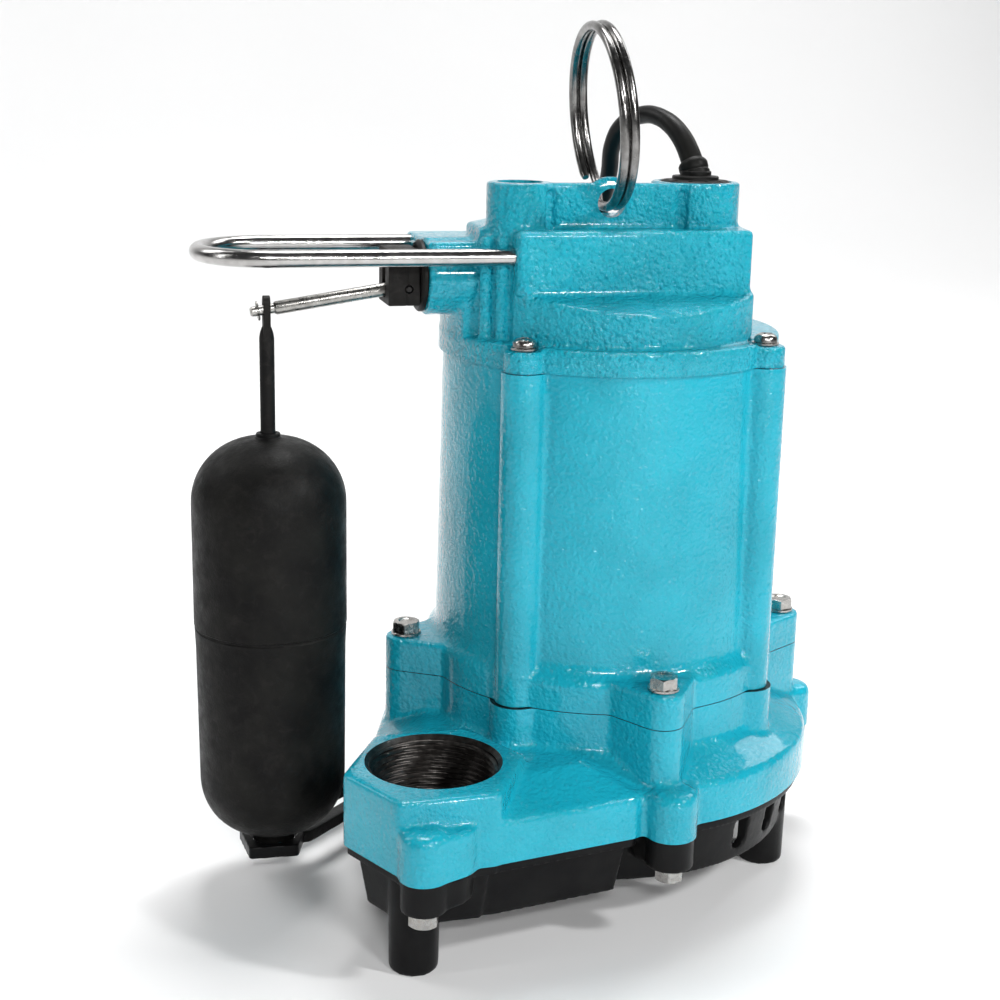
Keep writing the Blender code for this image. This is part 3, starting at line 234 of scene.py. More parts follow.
def arc_points(centre_r, centre_z, width, height, first, last, count):
    """Profile points of an arc of an ellipse, by the angles of its first and last points."""
    angles = [math.radians(first + (last - first) * k / count) for k in range(count + 1)]
    return [(centre_r + width * math.cos(a), centre_z + height * math.sin(a)) for a in angles]


def raised(profile, level, side=1):
    """A profile moved up to a level; side is -1 for one that hangs down from it."""
    return [(radius, level + side * z) for radius, z in profile]


def swing(t):
    """Go from 0 to 1 along half a cosine wave."""
    return (1 - math.cos(math.pi * max(0.0, min(1.0, t)))) / 2


# ---- solids

def solid(name, vertices, faces):
    mesh = bpy.data.meshes.new(name)
    mesh.from_pydata([Vector(v) for v in vertices], [], faces)
    work = bmesh.new()
    work.from_mesh(mesh)
    bmesh.ops.recalc_face_normals(work, faces=work.faces)
    work.to_mesh(mesh)
    work.free()
    obj = bpy.data.objects.new(name, mesh)
    bpy.context.collection.objects.link(obj)
    return obj


def loft(name, levels):
    """A closed solid through outlines that hold the same number of points."""
    count = len(levels[0][0])
    vertices = [(x, y, z) for outline, z in levels for x, y in outline]
    faces = [tuple(range(count))[::-1]]
    for level in range(len(levels) - 1):
        low = level * count
        for i in range(count):
            j = (i + 1) % count
            faces.append((low + i, low + j, low + count + j, low + count + i))
    faces.append(tuple(range((len(levels) - 1) * count, len(levels) * count)))
    return solid(name, vertices, faces)


def prism(name, outline, low, high):
    return loft(name, [(outline, low), (outline, high)])


def box(name, low, high):
    outline = [(low[0], low[1]), (high[0], low[1]), (high[0], high[1]), (low[0], high[1])]
    return prism(name, outline, low[2], high[2])


def turned(name, profile, centre=(0.0, 0.0), count=None):
    """A solid of revolution about a vertical axis; a profile point at radius 0 is on the axis."""
    count = count or facets(max(radius for radius, z in profile))
    vertices = []
    rings = []
    for radius, z in profile:
        if radius == 0.0:
            rings.append([len(vertices)] * count)
            vertices.append((centre[0], centre[1], z))
            continue
        rings.append(list(range(len(vertices), len(vertices) + count)))
        vertices.extend((x, y, z) for x, y in disc(centre[0], centre[1], radius, count))
    faces = []
    pairs = list(zip(rings, rings[1:]))
    if profile[0][0] > 0.0:
        pairs.append((rings[-1], rings[0]))
    for low, high in pairs:
        for i in range(count):
            j = (i + 1) % count
            corners = [low[i], low[j], high[j], high[i]]
            face = [v for k, v in enumerate(corners) if v not in corners[:k]]
            if len(face) > 2:
                faces.append(face)
    return solid(name, vertices, faces)


def tube(name, points, radii, sides):
    """A round bar along a line of points, with its own radius at each, and closed flat ends."""
    points = [Vector(p) for p in points]
    ways = [(b - a).normalized() for a, b in zip(points, points[1:])]
    tangents = [ways[0]] + [(a + b).normalized() for a, b in zip(ways, ways[1:])] + [ways[-1]]
    side = tangents[0].orthogonal().normalized()
    vertices = []
    for point, tangent, radius in zip(points, tangents, radii):
        side = (side - tangent * side.dot(tangent)).normalized()
        up = tangent.cross(side)
        for k in range(sides):
            angle = 2 * math.pi * k / sides
            vertices.append(point + radius * (side * math.cos(angle) + up * math.sin(angle)))
    faces = [tuple(range(sides))[::-1], tuple(range(len(vertices) - sides, len(vertices)))]
    for level in range(len(points) - 1):
        low = level * sides
        for k in range(sides):
            j = (k + 1) % sides
            faces.append((low + k, low + j, low + sides + j, low + sides + k))
    return solid(name, vertices, faces)


def turn_to(obj, matrix):
    obj.data.transform(matrix)
    return obj


def along(obj, origin, direction):
    """Lay a piece that was made on the vertical axis along a direction, its z = 0 at origin."""
    turn = Vector((0, 0, 1)).rotation_difference(Vector(direction)).to_matrix().to_4x4()
    return turn_to(obj, Matrix.Translation(Vector(origin)) @ turn)


def settle(obj):
    """Replace an object's shape by its evaluated mesh, and drop its modifiers."""
    graph = bpy.context.evaluated_depsgraph_get()
    mesh = bpy.data.meshes.new_from_object(obj.evaluated_get(graph))
    obj.modifiers.clear()
    obj.data = mesh
    return obj


def combine(target, others, operation):
    for other in others:
        step = target.modifiers.new("step", "BOOLEAN")
        step.operation = operation
        step.solver = "MANIFOLD"
        step.object = other
        settle(target)
        bpy.data.objects.remove(other)
    return target


def join(target, *others):
    return combine(target, others, "UNION")


def cut(target, *others):
    return combine(target, others, "DIFFERENCE")


def bore(target, x, y, radius, low, high):
    """Cut an upright round hole between two levels."""
    return cut(target, prism("hole", disc(x, y, radius), low, high))


def drill(target, start, way, radius, length):
    """Cut a round hole from a place along a direction."""
    return cut(target, along(prism("hole", disc(0, 0, radius), 0, length), start, way))


def soften(obj, cell, rounds, keep):
    """Round every edge and fill every corner of a solid, as a mould does."""
    remesh = obj.modifiers.new("remesh", "REMESH")
    remesh.mode = "VOXEL"
    remesh.voxel_size = cell
    smooth = obj.modifiers.new("smooth", "SMOOTH")
    smooth.factor = 0.5
    smooth.iterations = rounds
    thin = obj.modifiers.new("thin", "DECIMATE")
    thin.ratio = keep
    return settle(obj)


def finish(obj, name, node, look, body="pump", crease=32.0):
    """Put a piece into the frame with its look; it rides on a body and stands for a CAD node, if any."""
    obj.name = name
    obj.data.name = name
    obj.data.transform(TO_FRAME)
    for polygon in obj.data.polygons:
        polygon.use_smooth = True
    obj.data.set_sharp_from_angle(angle=math.radians(crease))
    if not obj.data.materials or obj.data.materials[0] is None:
        obj.data.materials.clear()
        obj.data.materials.append(FINISH[look])
    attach(obj, body)
    if node:
        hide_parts(node)
    return obj


# ---- camera

CAMERA_TURN, CAMERA_LIFT, CAMERA_ROLL = math.radians(-14.72), math.radians(14.54), math.radians(1.19)
CAMERA_AT = Vector((-207.4, -628.0, 317.3))
CAMERA_LENS = 60.84


def make_camera():
    data = bpy.data.cameras.new("camera")
    data.sensor_width = 36.0
    data.lens = CAMERA_LENS
    data.clip_start = 0.05
    data.clip_end = 20.0
    camera = bpy.data.objects.new("camera", data)
    bpy.context.collection.objects.link(camera)
    back = Vector((math.sin(CAMERA_TURN) * math.cos(CAMERA_LIFT),
                   -math.cos(CAMERA_TURN) * math.cos(CAMERA_LIFT), math.sin(CAMERA_LIFT)))
    level = Vector((math.cos(CAMERA_TURN), math.sin(CAMERA_TURN), 0.0))
    rise = level.cross(-back)
    right = math.cos(CAMERA_ROLL) * level + math.sin(CAMERA_ROLL) * rise
    up = math.cos(CAMERA_ROLL) * rise - math.sin(CAMERA_ROLL) * level
    at = AXIS + CAMERA_AT * MM
    camera.matrix_world = Matrix(((right.x, up.x, back.x, at.x), (right.y, up.y, back.y, at.y),
                                  (right.z, up.z, back.z, at.z), (0, 0, 0, 1)))
    bpy.context.scene.camera = camera


make_camera()


# ---- finishes

class Graph:
    """Nodes of one material, wired by short calls; positions are in metres on the piece."""

    def __init__(self, name):
        self.material = bpy.data.materials.new(name)
        self.material.use_nodes = True
        self.tree = self.material.node_tree
        self.shader = self.tree.nodes["Principled BSDF"]
        self.place = self.node("TexCoord").outputs["Object"]

    def link(self, source, target):
        self.tree.links.new(source, target)

    def node(self, kind, place=None, **values):
        """A node with the values of its sockets, read at a place if one is given."""
        node = self.tree.nodes.new("ShaderNode" + kind)
        for key, value in values.items():
            node.inputs[key.replace("_", " ")].default_value = value
        if place:
            self.link(place, node.inputs["Vector"])
        return node

    def noise(self, size, detail=3.0, rough=0.55, stretch=None, warp=0.0):
        """Noise whose lumps are about size millimetres across."""
        place = self.node("Mapping", self.place, Scale=stretch).outputs["Vector"] if stretch else self.place
        texture = self.node("TexNoise", place, Scale=1.0 / (size * MM), Detail=detail, Roughness=rough,
                            Distortion=warp)
        return texture.outputs["Fac"]

    def cells(self, size, smooth):
        """Smooth pebbles whose middles are about size millimetres apart."""
        texture = self.node("TexVoronoi", self.place, Scale=1.0 / (size * MM))
        texture.feature = "SMOOTH_F1"
        texture.inputs["Smoothness"].default_value = smooth
        return texture.outputs["Distance"]

    def range(self, value, low, high, start=0.35, end=0.65):
        node = self.node("MapRange", From_Min=start, From_Max=end, To_Min=low, To_Max=high)
        self.link(value, node.inputs["Value"])
        return node.outputs["Result"]

    def blend(self, share, first, second):
        node = self.node("Mix")
        node.data_type = "RGBA"
        self.link(share, node.inputs["Factor"])
        for key, value in (("A", first), ("B", second)):
            socket = [s for s in node.inputs if s.name == key and s.type == "RGBA"][0]
            if isinstance(value, tuple):
                socket.default_value = (*value, 1.0)
            else:
                self.link(value, socket)
        return [s for s in node.outputs if s.type == "RGBA"][0]

    def sum(self, *parts):
        """Heights, each times its own weight, added up."""
        total = None
        for value, weight in parts:
            node = self.node("Math")
            node.operation = "MULTIPLY_ADD"
            node.inputs[1].default_value = weight
            node.inputs[2].default_value = 0.0
            self.link(value, node.inputs[0])
            if total:
                self.link(total, node.inputs[2])
            total = node.outputs["Value"]
        return total

    def bump(self, height, depth):
        """Relief of about depth millimetres."""
        node = self.node("Bump", Distance=depth * MM)
        self.link(height, node.inputs["Height"])
        self.link(node.outputs["Normal"], self.shader.inputs["Normal"])

    def colour(self, value):
        self.link(value, self.shader.inputs["Base Color"])

    def roughness(self, value):
        self.link(value, self.shader.inputs["Roughness"])

    def set(self, **values):
        for key, value in values.items():
            self.shader.inputs[key.replace("_", " ")].default_value = value


def grey(level):
    return (level, level, level)


def paint(name, relief):
    """Glossy enamel over a sand casting, whose skin is covered in low pebbles."""
    g = Graph(name)
    base = g.blend(g.range(g.noise(38.0, 2.0), 0.0, 1.0), PAINT_DEEP, PAINT_LIGHT)
    g.colour(g.blend(g.range(g.noise(0.9, 2.0), 0.0, 0.25, 0.55, 0.8), base, PAINT_DUST))
    g.roughness(g.range(g.noise(9.0, 3.0), 0.09, 0.16))
    pebbles = g.cells(PEBBLE, 0.9)
    grains = g.noise(PEBBLE * 0.62, 1.5, 0.4)
    g.bump(g.sum((pebbles, -0.9), (grains, 0.8), (g.noise(7.0, 1.0), 1.1)), relief)
    g.set(Specular_IOR_Level=0.22, Coat_Weight=0.45, Coat_Roughness=0.07)
    return g.material


def moulded(name, dark, light, rough, relief, grain=0.5, dust=None):
    """Moulded plastic or rubber: a fine grain, faint flow marks, and dust if it is given."""
    g = Graph(name)
    base = g.blend(g.range(g.noise(16.0, 3.0), 0.0, 1.0), dark, light)
    if dust:
        marks = g.range(g.noise(5.5, 6.0, 0.7, warp=0.6), 0.0, 0.55, 0.50, 0.78)
        base = g.blend(marks, base, dust)
    g.colour(base)
    g.roughness(g.range(g.noise(6.0, 4.0, 0.65), *rough))
    g.bump(g.sum((g.noise(grain, 2.0), 1.0), (g.noise(5.0, 2.0), 1.6)), relief)
    g.set(Specular_IOR_Level=0.12)
    return g.material


def metal(name, dark, light, rough, relief, lines=None, stain=None):
    """Bare or plated metal with drawn lines along its own length and a little staining."""
    g = Graph(name)
    base = g.blend(g.range(g.noise(4.0, 3.0), 0.0, 1.0), dark, light)
    if stain:
        base = g.blend(g.range(g.noise(3.0, 5.0, 0.7), 0.0, 0.8, 0.52, 0.75), base, stain)
    g.colour(base)
    g.roughness(g.range(g.noise(2.5, 4.0, 0.65), *rough))
    g.bump(g.sum((g.noise(0.45, 3.0, 0.6, lines), 1.0), (g.noise(6.0, 1.0), 0.8)), relief)
    g.set(Metallic=1.0)
    return g.material


def stacked(name, dark, light, pitch, relief):
    """Sheets or windings lying on each other along the motor axis."""
    g = Graph(name)
    wave = g.node("TexWave", g.place, Scale=BAND_WAVE / (pitch * MM), Distortion=0.4)
    wave.wave_type = "BANDS"
    wave.bands_direction = "Z"
    bands = wave.outputs["Fac"]
    g.colour(g.blend(bands, dark, light))
    g.roughness(g.range(g.noise(3.0, 3.0), 0.32, 0.5))
    g.bump(g.sum((bands, 1.0), (g.noise(0.8, 2.0), 0.3)), relief)
    g.set(Metallic=1.0)
    return g.material


PAINT_DEEP = (0.006, 0.31, 0.415)
PAINT_LIGHT = (0.010, 0.375, 0.50)
PAINT_DUST = (0.03, 0.45, 0.58)
PEBBLE = 1.7
BAND_WAVE = 0.31

# Each row has the slot of a look, the function that makes it, and what that function asks for.
LOOKS = {
    "cover_paint": ("paint", paint, 1.25),
    "housing_paint": ("paint", paint, 0.48),
    "volute_paint": ("paint", paint, 0.50),
    "base_plastic": ("plastic", moulded, (0.004, 0.004, 0.0045), grey(0.008), (0.28, 0.42), 0.06),
    "float_plastic": ("plastic", moulded, grey(0.004), (0.009, 0.009, 0.008), (0.38, 0.58), 0.10, 0.7,
                      (0.020, 0.018, 0.017)),
    "switch_plastic": ("plastic", moulded, grey(0.006), (0.012, 0.011, 0.010), (0.45, 0.6), 0.04, 0.4,
                       (0.035, 0.032, 0.030)),
    "inner_plastic": ("plastic", moulded, (0.03, 0.03, 0.033), (0.045, 0.045, 0.05), (0.4, 0.55), 0.04),
    "cord_rubber": ("rubber", moulded, grey(0.005), grey(0.009), (0.30, 0.42), 0.03, 0.6),
    "soft_rubber": ("rubber", moulded, grey(0.005), (0.010, 0.010, 0.009), (0.38, 0.5), 0.05, 0.5,
                    (0.018, 0.018, 0.017)),
    "gasket": ("gasket", moulded, (0.05, 0.05, 0.045), (0.08, 0.08, 0.07), (0.75, 0.9), 0.08, 0.35),
    "ceramic": ("ceramic", moulded, (0.78, 0.75, 0.69), (0.85, 0.83, 0.78), (0.2, 0.3), 0.01, 0.3),
    "rod_chrome": ("steel", metal, (0.42, 0.41, 0.40), (0.52, 0.51, 0.50), (0.12, 0.24), 0.015, (1, 14, 14)),
    # The lifting ring's steel is painted dark: its colour is lowered to stand in for the dark surroundings
    # that chrome reflects, a painted reflection; the bearings share it.
    "steel_painted_dark_reflection": ("steel", metal, (0.17, 0.165, 0.16), (0.27, 0.265, 0.26), (0.16, 0.28), 0.02),
    "bolt_steel": ("steel", metal, (0.32, 0.31, 0.30), (0.46, 0.45, 0.43), (0.18, 0.34), 0.03, None,
                   (0.34, 0.31, 0.27)),
    "arm_steel": ("steel", metal, (0.34, 0.33, 0.31), (0.46, 0.45, 0.43), (0.2, 0.36), 0.02, (2, 12, 12),
                  (0.33, 0.31, 0.28)),
    "bare_iron": ("iron", metal, (0.045, 0.041, 0.038), (0.10, 0.094, 0.088), (0.28, 0.45), 0.06, None,
                  (0.03, 0.026, 0.024)),
    "black_steel": ("steel", metal, grey(0.02), (0.035, 0.034, 0.033), (0.35, 0.5), 0.02),
    "lamination": ("lamination", stacked, (0.22, 0.22, 0.23), (0.36, 0.36, 0.37), 0.65, 0.08),
    "copper": ("copper", stacked, (0.46, 0.17, 0.07), (0.74, 0.32, 0.15), 1.1, 0.25),
    "brass": ("brass", metal, (0.60, 0.43, 0.17), (0.78, 0.58, 0.25), (0.18, 0.32), 0.02),
}
FINISH = {name: make(name, *values) for name, (slot, make, *values) in LOOKS.items()}


# ---- power cord

def smooth_path(knots, spacing):
    """Points a given distance apart on a Catmull-Rom curve through the knots."""
    pts = [2 * Vector(knots[0]) - Vector(knots[1])] + [Vector(k) for k in knots]
    pts.append(2 * Vector(knots[-1]) - Vector(knots[-2]))
    fine = []
    for a, b, c, d in zip(pts, pts[1:], pts[2:], pts[3:]):
        for k in range(24):
            t = k / 24
            fine.append(0.5 * (2 * b + (c - a) * t + (2 * a - 5 * b + 4 * c - d) * t * t
                               + (3 * b - a - 3 * c + d) * t ** 3))
    fine.append(pts[-2])
    lengths = [0.0]
    for a, b in zip(fine, fine[1:]):
        lengths.append(lengths[-1] + (b - a).length)
    count = max(2, round(lengths[-1] / spacing))
    out = []
    index = 0
    for k in range(count + 1):
        want = lengths[-1] * k / count
        while index < len(fine) - 2 and lengths[index + 1] < want:
            index += 1
        part = (want - lengths[index]) / max(1e-9, lengths[index + 1] - lengths[index])
        out.append(fine[index].lerp(fine[index + 1], min(1.0, part)))
    return out


def cord_route():
    """From the collar of the gland, over the crown, down behind the pump, to the coil's edge."""
    heading = Vector((math.cos(CORD_HEADING), math.sin(CORD_HEADING), 0.0))
    upward = Vector((0.0, 0.0, 1.0))
    tilt = heading * math.sin(CORD_TILT) + upward * math.cos(CORD_TILT)
    leave = Vector((*GLAND, GLAND_DOME_Z)) + tilt * (GLAND_NUT_R + GAP)
    arch = []
    for k in range(8):
        turn = CORD_TILT + math.radians(15 * k)
        forward = CORD_BEND_R * (math.cos(CORD_TILT) - math.cos(turn))
        rise = CORD_BEND_R * (math.sin(turn) - math.sin(CORD_TILT))
        arch.append(tuple(leave + heading * forward + upward * rise))
    meet = math.radians(-75)
    return arch + [
        (12.2, 43.8, 271.4), (12.0, 51.6, 259.6), (9.8, 60.8, 243.0), (6.4, 70.8, 222.0),
        (3.2, 77.5, 198.0), (0.0, 84.5, 165.0), (-2.0, 92.4, 128.0), (-3.5, 99.8, 94.0),
        (-3.5, 104.8, 62.0), (-2.0, 107.2, 41.7), (3.1, 108.8, 22.7), (17.0, 109.2, 8.8),
        (36.0, 109.4, CORD_FLOOR_Z),
        (COIL[0] + COIL_EDGE_R * math.cos(meet), COIL[1] + COIL_EDGE_R * math.sin(meet), CORD_FLOOR_Z),
    ]


# The coil is wound three turns wide and three high. Each row is a change of place: the angle round the
# coil at which it starts, the angle that it takes, in degrees, and the radius and layer it leads to.
COIL_START, COIL_END, COIL_ZERO = 275, 3520, 350
COIL_CHANGES = [(275, 90, 49.0, 0), (635, 90, 42.0, 0), (995, 90, 35.0, 0), (1285, 68, 35.0, 1),
                (1590, 90, 42.0, 1), (1950, 90, 49.0, 1), (2240, 68, 49.0, 2), (2545, 90, 42.0, 2),
                (2905, 90, 35.0, 2), (3195, 68, 35.0, 3), (3263, 90, 42.0, 3)]
PLUG_CLIMB = 62


def coil_points():
    step = 15
    layers = [COIL_LIFT + CORD_D * (0.5 + k) for k in range(3)] + [COIL_TOP + CORD_D / 2 + GAP]
    plug_z = COIL_TOP + PLUG_SIZE[2] / 2 + GAP
    points = []
    for k in range(1, (COIL_END - COIL_START) // step + 1):
        angle = COIL_START + k * step
        radius, height = COIL_EDGE_R, CORD_FLOOR_Z
        for start, sweep, to_radius, layer in COIL_CHANGES:
            share = swing((angle - start) / sweep)
            radius += (to_radius - radius) * share
            height += (layers[layer] - height) * share
        height += (plug_z - height) * swing(1 - (COIL_END - angle) / PLUG_CLIMB)
        turn = math.radians(angle - COIL_ZERO)
        points.append(Vector((COIL[0] + radius * math.cos(turn), COIL[1] + radius * math.sin(turn), height)))
    return points


def power_cord():
    route_step = 12.4
    route = smooth_path(cord_route(), route_step)
    points = route + coil_points()
    points.append(points[-1] + TAIL_LENGTH * PLUG_WAY)
    curve = bpy.data.curves.new("mains_lead", "CURVE")
    curve.dimensions = "3D"
    curve.resolution_u = 6
    curve.bevel_depth = CORD_D / 2 * MM
    curve.bevel_resolution = 6
    curve.use_fill_caps = True
    spline = curve.splines.new("BEZIER")
    spline.bezier_points.add(len(points) - 1)
    for target, point in zip(spline.bezier_points, points):
        target.co = TO_FRAME @ point
        target.handle_left_type = "AUTO"
        target.handle_right_type = "AUTO"
    lead = bpy.data.objects.new("mains_lead", curve)
    bpy.context.collection.objects.link(lead)
    curve.materials.append(FINISH["cord_rubber"])
    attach(lead, "pump")
    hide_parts("power_cord", "cord_coil", "cord_tail")
    return lead, route[0]


def lead_sleeve():
    """The cord's soft sleeve: a collar on the gland, then a taper that ends flush with the cord."""
    inside = [Vector((*GLAND, GLAND_DOME_Z - RELIEF_ROOT + 0.7 * k)) for k in range(4)]
    path = smooth_path(inside + cord_route()[:6], RELIEF_STEP)
    reach = int((RELIEF_LENGTH + GLAND_NUT_R + RELIEF_ROOT) / RELIEF_STEP)
    radii = [CORD_D / 2 * (1.26 - 0.22 * min(1.0, k / (reach - 4))) for k in range(reach)]
    for k, share in ((reach - 3, 1.02), (reach - 2, 1.01), (reach - 1, 1.0)):
        radii[k] = CORD_D / 2 * share
    collar = [5.75] * 8 + [5.3] + [5.6] * 4 + [5.35, 4.9]
    radii[:len(collar)] = collar
    return finish(tube("sleeve", path[:reach], radii, 40), "lead_sleeve", "strain_relief", "soft_rubber")


def mains_plug():
    """A moulded three-pin plug, made standing on its cord end and laid on the coil."""
    length, width, height = PLUG_SIZE
    start = coil_points()[-1] + PLUG_START * PLUG_WAY
    upward = Vector((0, 0, 1))
    across = upward.cross(PLUG_WAY)
    stand = Matrix.Translation(start) @ Matrix((across, upward, PLUG_WAY)).transposed().to_4x4()
    shape = [(0.0, 9.0, 9.0, 4.2), (5.0, 10.0, 10.0, 4.4), (9.0, 16.0, 14.0, 5.0), (13.0, 22.0, 17.5, 5.0),
             (18.0, 25.0, 19.4, 4.6), (22.0, width, height, 4.2), (length - 3.0, width, height, 4.0),
             (length - 0.8, width - 0.6, height - 0.6, 3.8), (length, width - 2.2, height - 2.2, 3.2)]
    body = loft("plug", [(rounded(rectangle(w, h), corner), z) for z, w, h, corner in shape])
    for k in range(4):
        z = 19.0 + 2.6 * k
        for x in (-width / 2, width / 2):
            cut(body, box("groove", (x - 0.8, -6.5, z), (x + 0.8, 6.5, z + 1.1)))
    soften(body, 0.45, 2, 0.4)
    finish(turn_to(body, stand), "plug_moulding", "plug_body", "soft_rubber")
    pieces = [body]
    thick, wide, hole_r = 0.75, 3.15, 1.6
    for index, x in enumerate((-BLADE_X, BLADE_X)):
        blade = box("blade", (x - thick, BLADE_Y - wide, length - 1.0),
                    (x + thick, BLADE_Y + wide, length + 16.0))
        bevel = blade.modifiers.new("bevel", "BEVEL")
        bevel.width = 0.45
        bevel.segments = 3
        bevel.limit_method = "ANGLE"
        drill(settle(blade), (x - 3, BLADE_Y, length + 12.0), (1, 0, 0), hole_r, 6)
        pieces.append(finish(turn_to(blade, stand), f"plug_blade_part_{index + 1}",
                             f"plug_blade_{index + 1}", "brass"))
    pin = raised([(0, -1), (2.4, -1), (2.4, 12.0), (2.0, 14.0), (1.2, 15.1), (0, 15.4)], length)
    ground = turn_to(turned("ground", pin), Matrix.Translation((0, GROUND_Y, 0)))
    pieces.append(finish(turn_to(ground, stand), "plug_ground_part", "plug_ground_pin", "brass"))
    return pieces


def cable_tie():
    low, high = COIL_LIFT - GAP - 0.8, COIL_TOP + CORD_D + 2 * GAP + 0.8
    half = 1.5 * CORD_D + GAP + 1.0
    outer = polygon_levels(rectangle(high - low, 2 * half), 4.5)
    strap = loft("strap", [(outer(0.25), -2.4), (outer(0.0), -2.1), (outer(0.0), 2.1), (outer(0.25), 2.4)])
    cut(strap, prism("inside", outer(0.95), -4.0, 4.0))
    head = eased(polygon_levels(rectangle(7.2, 5.2), 0.8), 0.0, 3.6, 0.8)
    join(strap, along(loft("lock", head), (0.0, half - 0.9, 0.0), (0, 1, 0)))
    turn_to(strap, Matrix(((0, 1, 0, COIL_TURN_R), (0, 0, 1, 0), (1, 0, 0, (low + high) / 2), (0, 0, 0, 1))))
    turn_to(strap, Matrix.Translation((*COIL, 0)) @ Matrix.Rotation(math.pi, 4, "Z"))
    return finish(strap, "coil_strap", "coil_tie", "soft_rubber")


lead, lead_start = power_cord()
sleeve = lead_sleeve()
plug_pieces = mains_plug()
tie = cable_tie()


# ---- floor and light

def studio():
    """A white sweep under and behind the pump, a dim room, small lamps on the pump, large on the wall."""
    front, back, bend, top, half = -4.0, 1.5, 1.2, 5.0, 6.0
    profile = [(front, 0.0)] + arc_points(back, bend, bend, bend, -90, 0, 10) + [(back + bend, top)]
    vertices = [(x, y, z) for y, z in profile for x in (-half, half)]
    faces = [(2 * k, 2 * k + 1, 2 * k + 3, 2 * k + 2) for k in range(len(profile) - 1)]
    floor = solid("sweep", vertices, faces)
    for face in floor.data.polygons:
        face.use_smooth = True
    g = Graph("sweep_white")
    g.colour(g.blend(g.range(g.noise(700.0, 1.0), 0.0, 1.0), grey(0.88), grey(0.90)))
    g.set(Roughness=0.8)
    floor.data.materials.append(g.material)
    world = bpy.data.worlds.new("studio")
    world.use_nodes = True
    world.node_tree.nodes["Background"].inputs["Color"].default_value = (0.95, 0.98, 1.0, 1.0)
    world.node_tree.nodes["Background"].inputs["Strength"].default_value = 0.05
    bpy.context.scene.world = world
    middle = AXIS + Vector((0.0, 0.0, 0.15))
    wall = Vector((0.0, 2.4, 0.6))
    for name, at, aim, wide, tall, power in (
            ("key", (0.85, -0.75, 0.95), middle, 0.10, 0.16, 8.0),
            ("front", (-0.30, -1.5, 0.95), middle, 0.40, 0.07, 9.0),
            ("spark", (0.40, -1.45, 0.62), middle, 0.26, 0.07, 8.0),
            ("left", (-1.2, -0.15, 0.55), middle, 0.08, 0.7, 1.6),
            ("top", (0.15, 0.45, 1.5), middle, 0.6, 0.4, 16.0),
            ("sweep_left", (-1.4, 1.0, 1.6), wall, 1.2, 1.2, 24.0),
            ("sweep_right", (1.4, 1.0, 1.6), wall, 1.2, 1.2, 24.0)):
        data = bpy.data.lights.new(name, "AREA")
        data.shape = "RECTANGLE"
        data.size = wide
        data.size_y = tall
        data.energy = power
        light = bpy.data.objects.new(name, data)
        bpy.context.collection.objects.link(light)
        light.location = at
        light.rotation_mode = "QUATERNION"
        light.rotation_quaternion = (aim - Vector(at)).to_track_quat("-Z", "Y")


studio()


# ---- castings

# A casting is made longer by SPARE, softened, and then sawn off flat at its levels.
SPARE = 4.0
SAW = 130.0
LOBE_REACH, LOBE_SPREAD = 12.0, 4.5
EAR_ROOT = (56.5, 20.5)
SEAM = 0.3


# Plan outlines of the volute, which the strainer base follows: the round rim, the neck and the port.
VOLUTE_SHAPES = {
    "rim": disc_levels(0, 0, RIM_R),
    "neck": polygon_levels(VOLUTE_NECK, 4.0),
    "port": polygon_levels(PORT_HEX, 3.5),
}


def lobe_web(x, y, radius):
    """The outline that carries a bolt lobe out from the rim."""
    inward = Vector((x, y)).normalized() * LOBE_REACH
    return hull((x, y, radius - 0.5), (x - inward.x, y - inward.y, radius + LOBE_SPREAD))


def ear(index):
    """The outline of a housing bolt's ear, spreading into the waist."""
    outer = quarter(index, HOUSING_BOLT_R, 0)
    inner = quarter(index, EAR_ROOT[0], 0)
    return hull((*outer, HOUSING_LOBE_R), (*inner, EAR_ROOT[1]))


def saw(target, low, high):
    """Trim everything of a casting between two levels."""
    return cut(target, box("saw", (-SAW, -SAW, low), (SAW, SAW, high)))


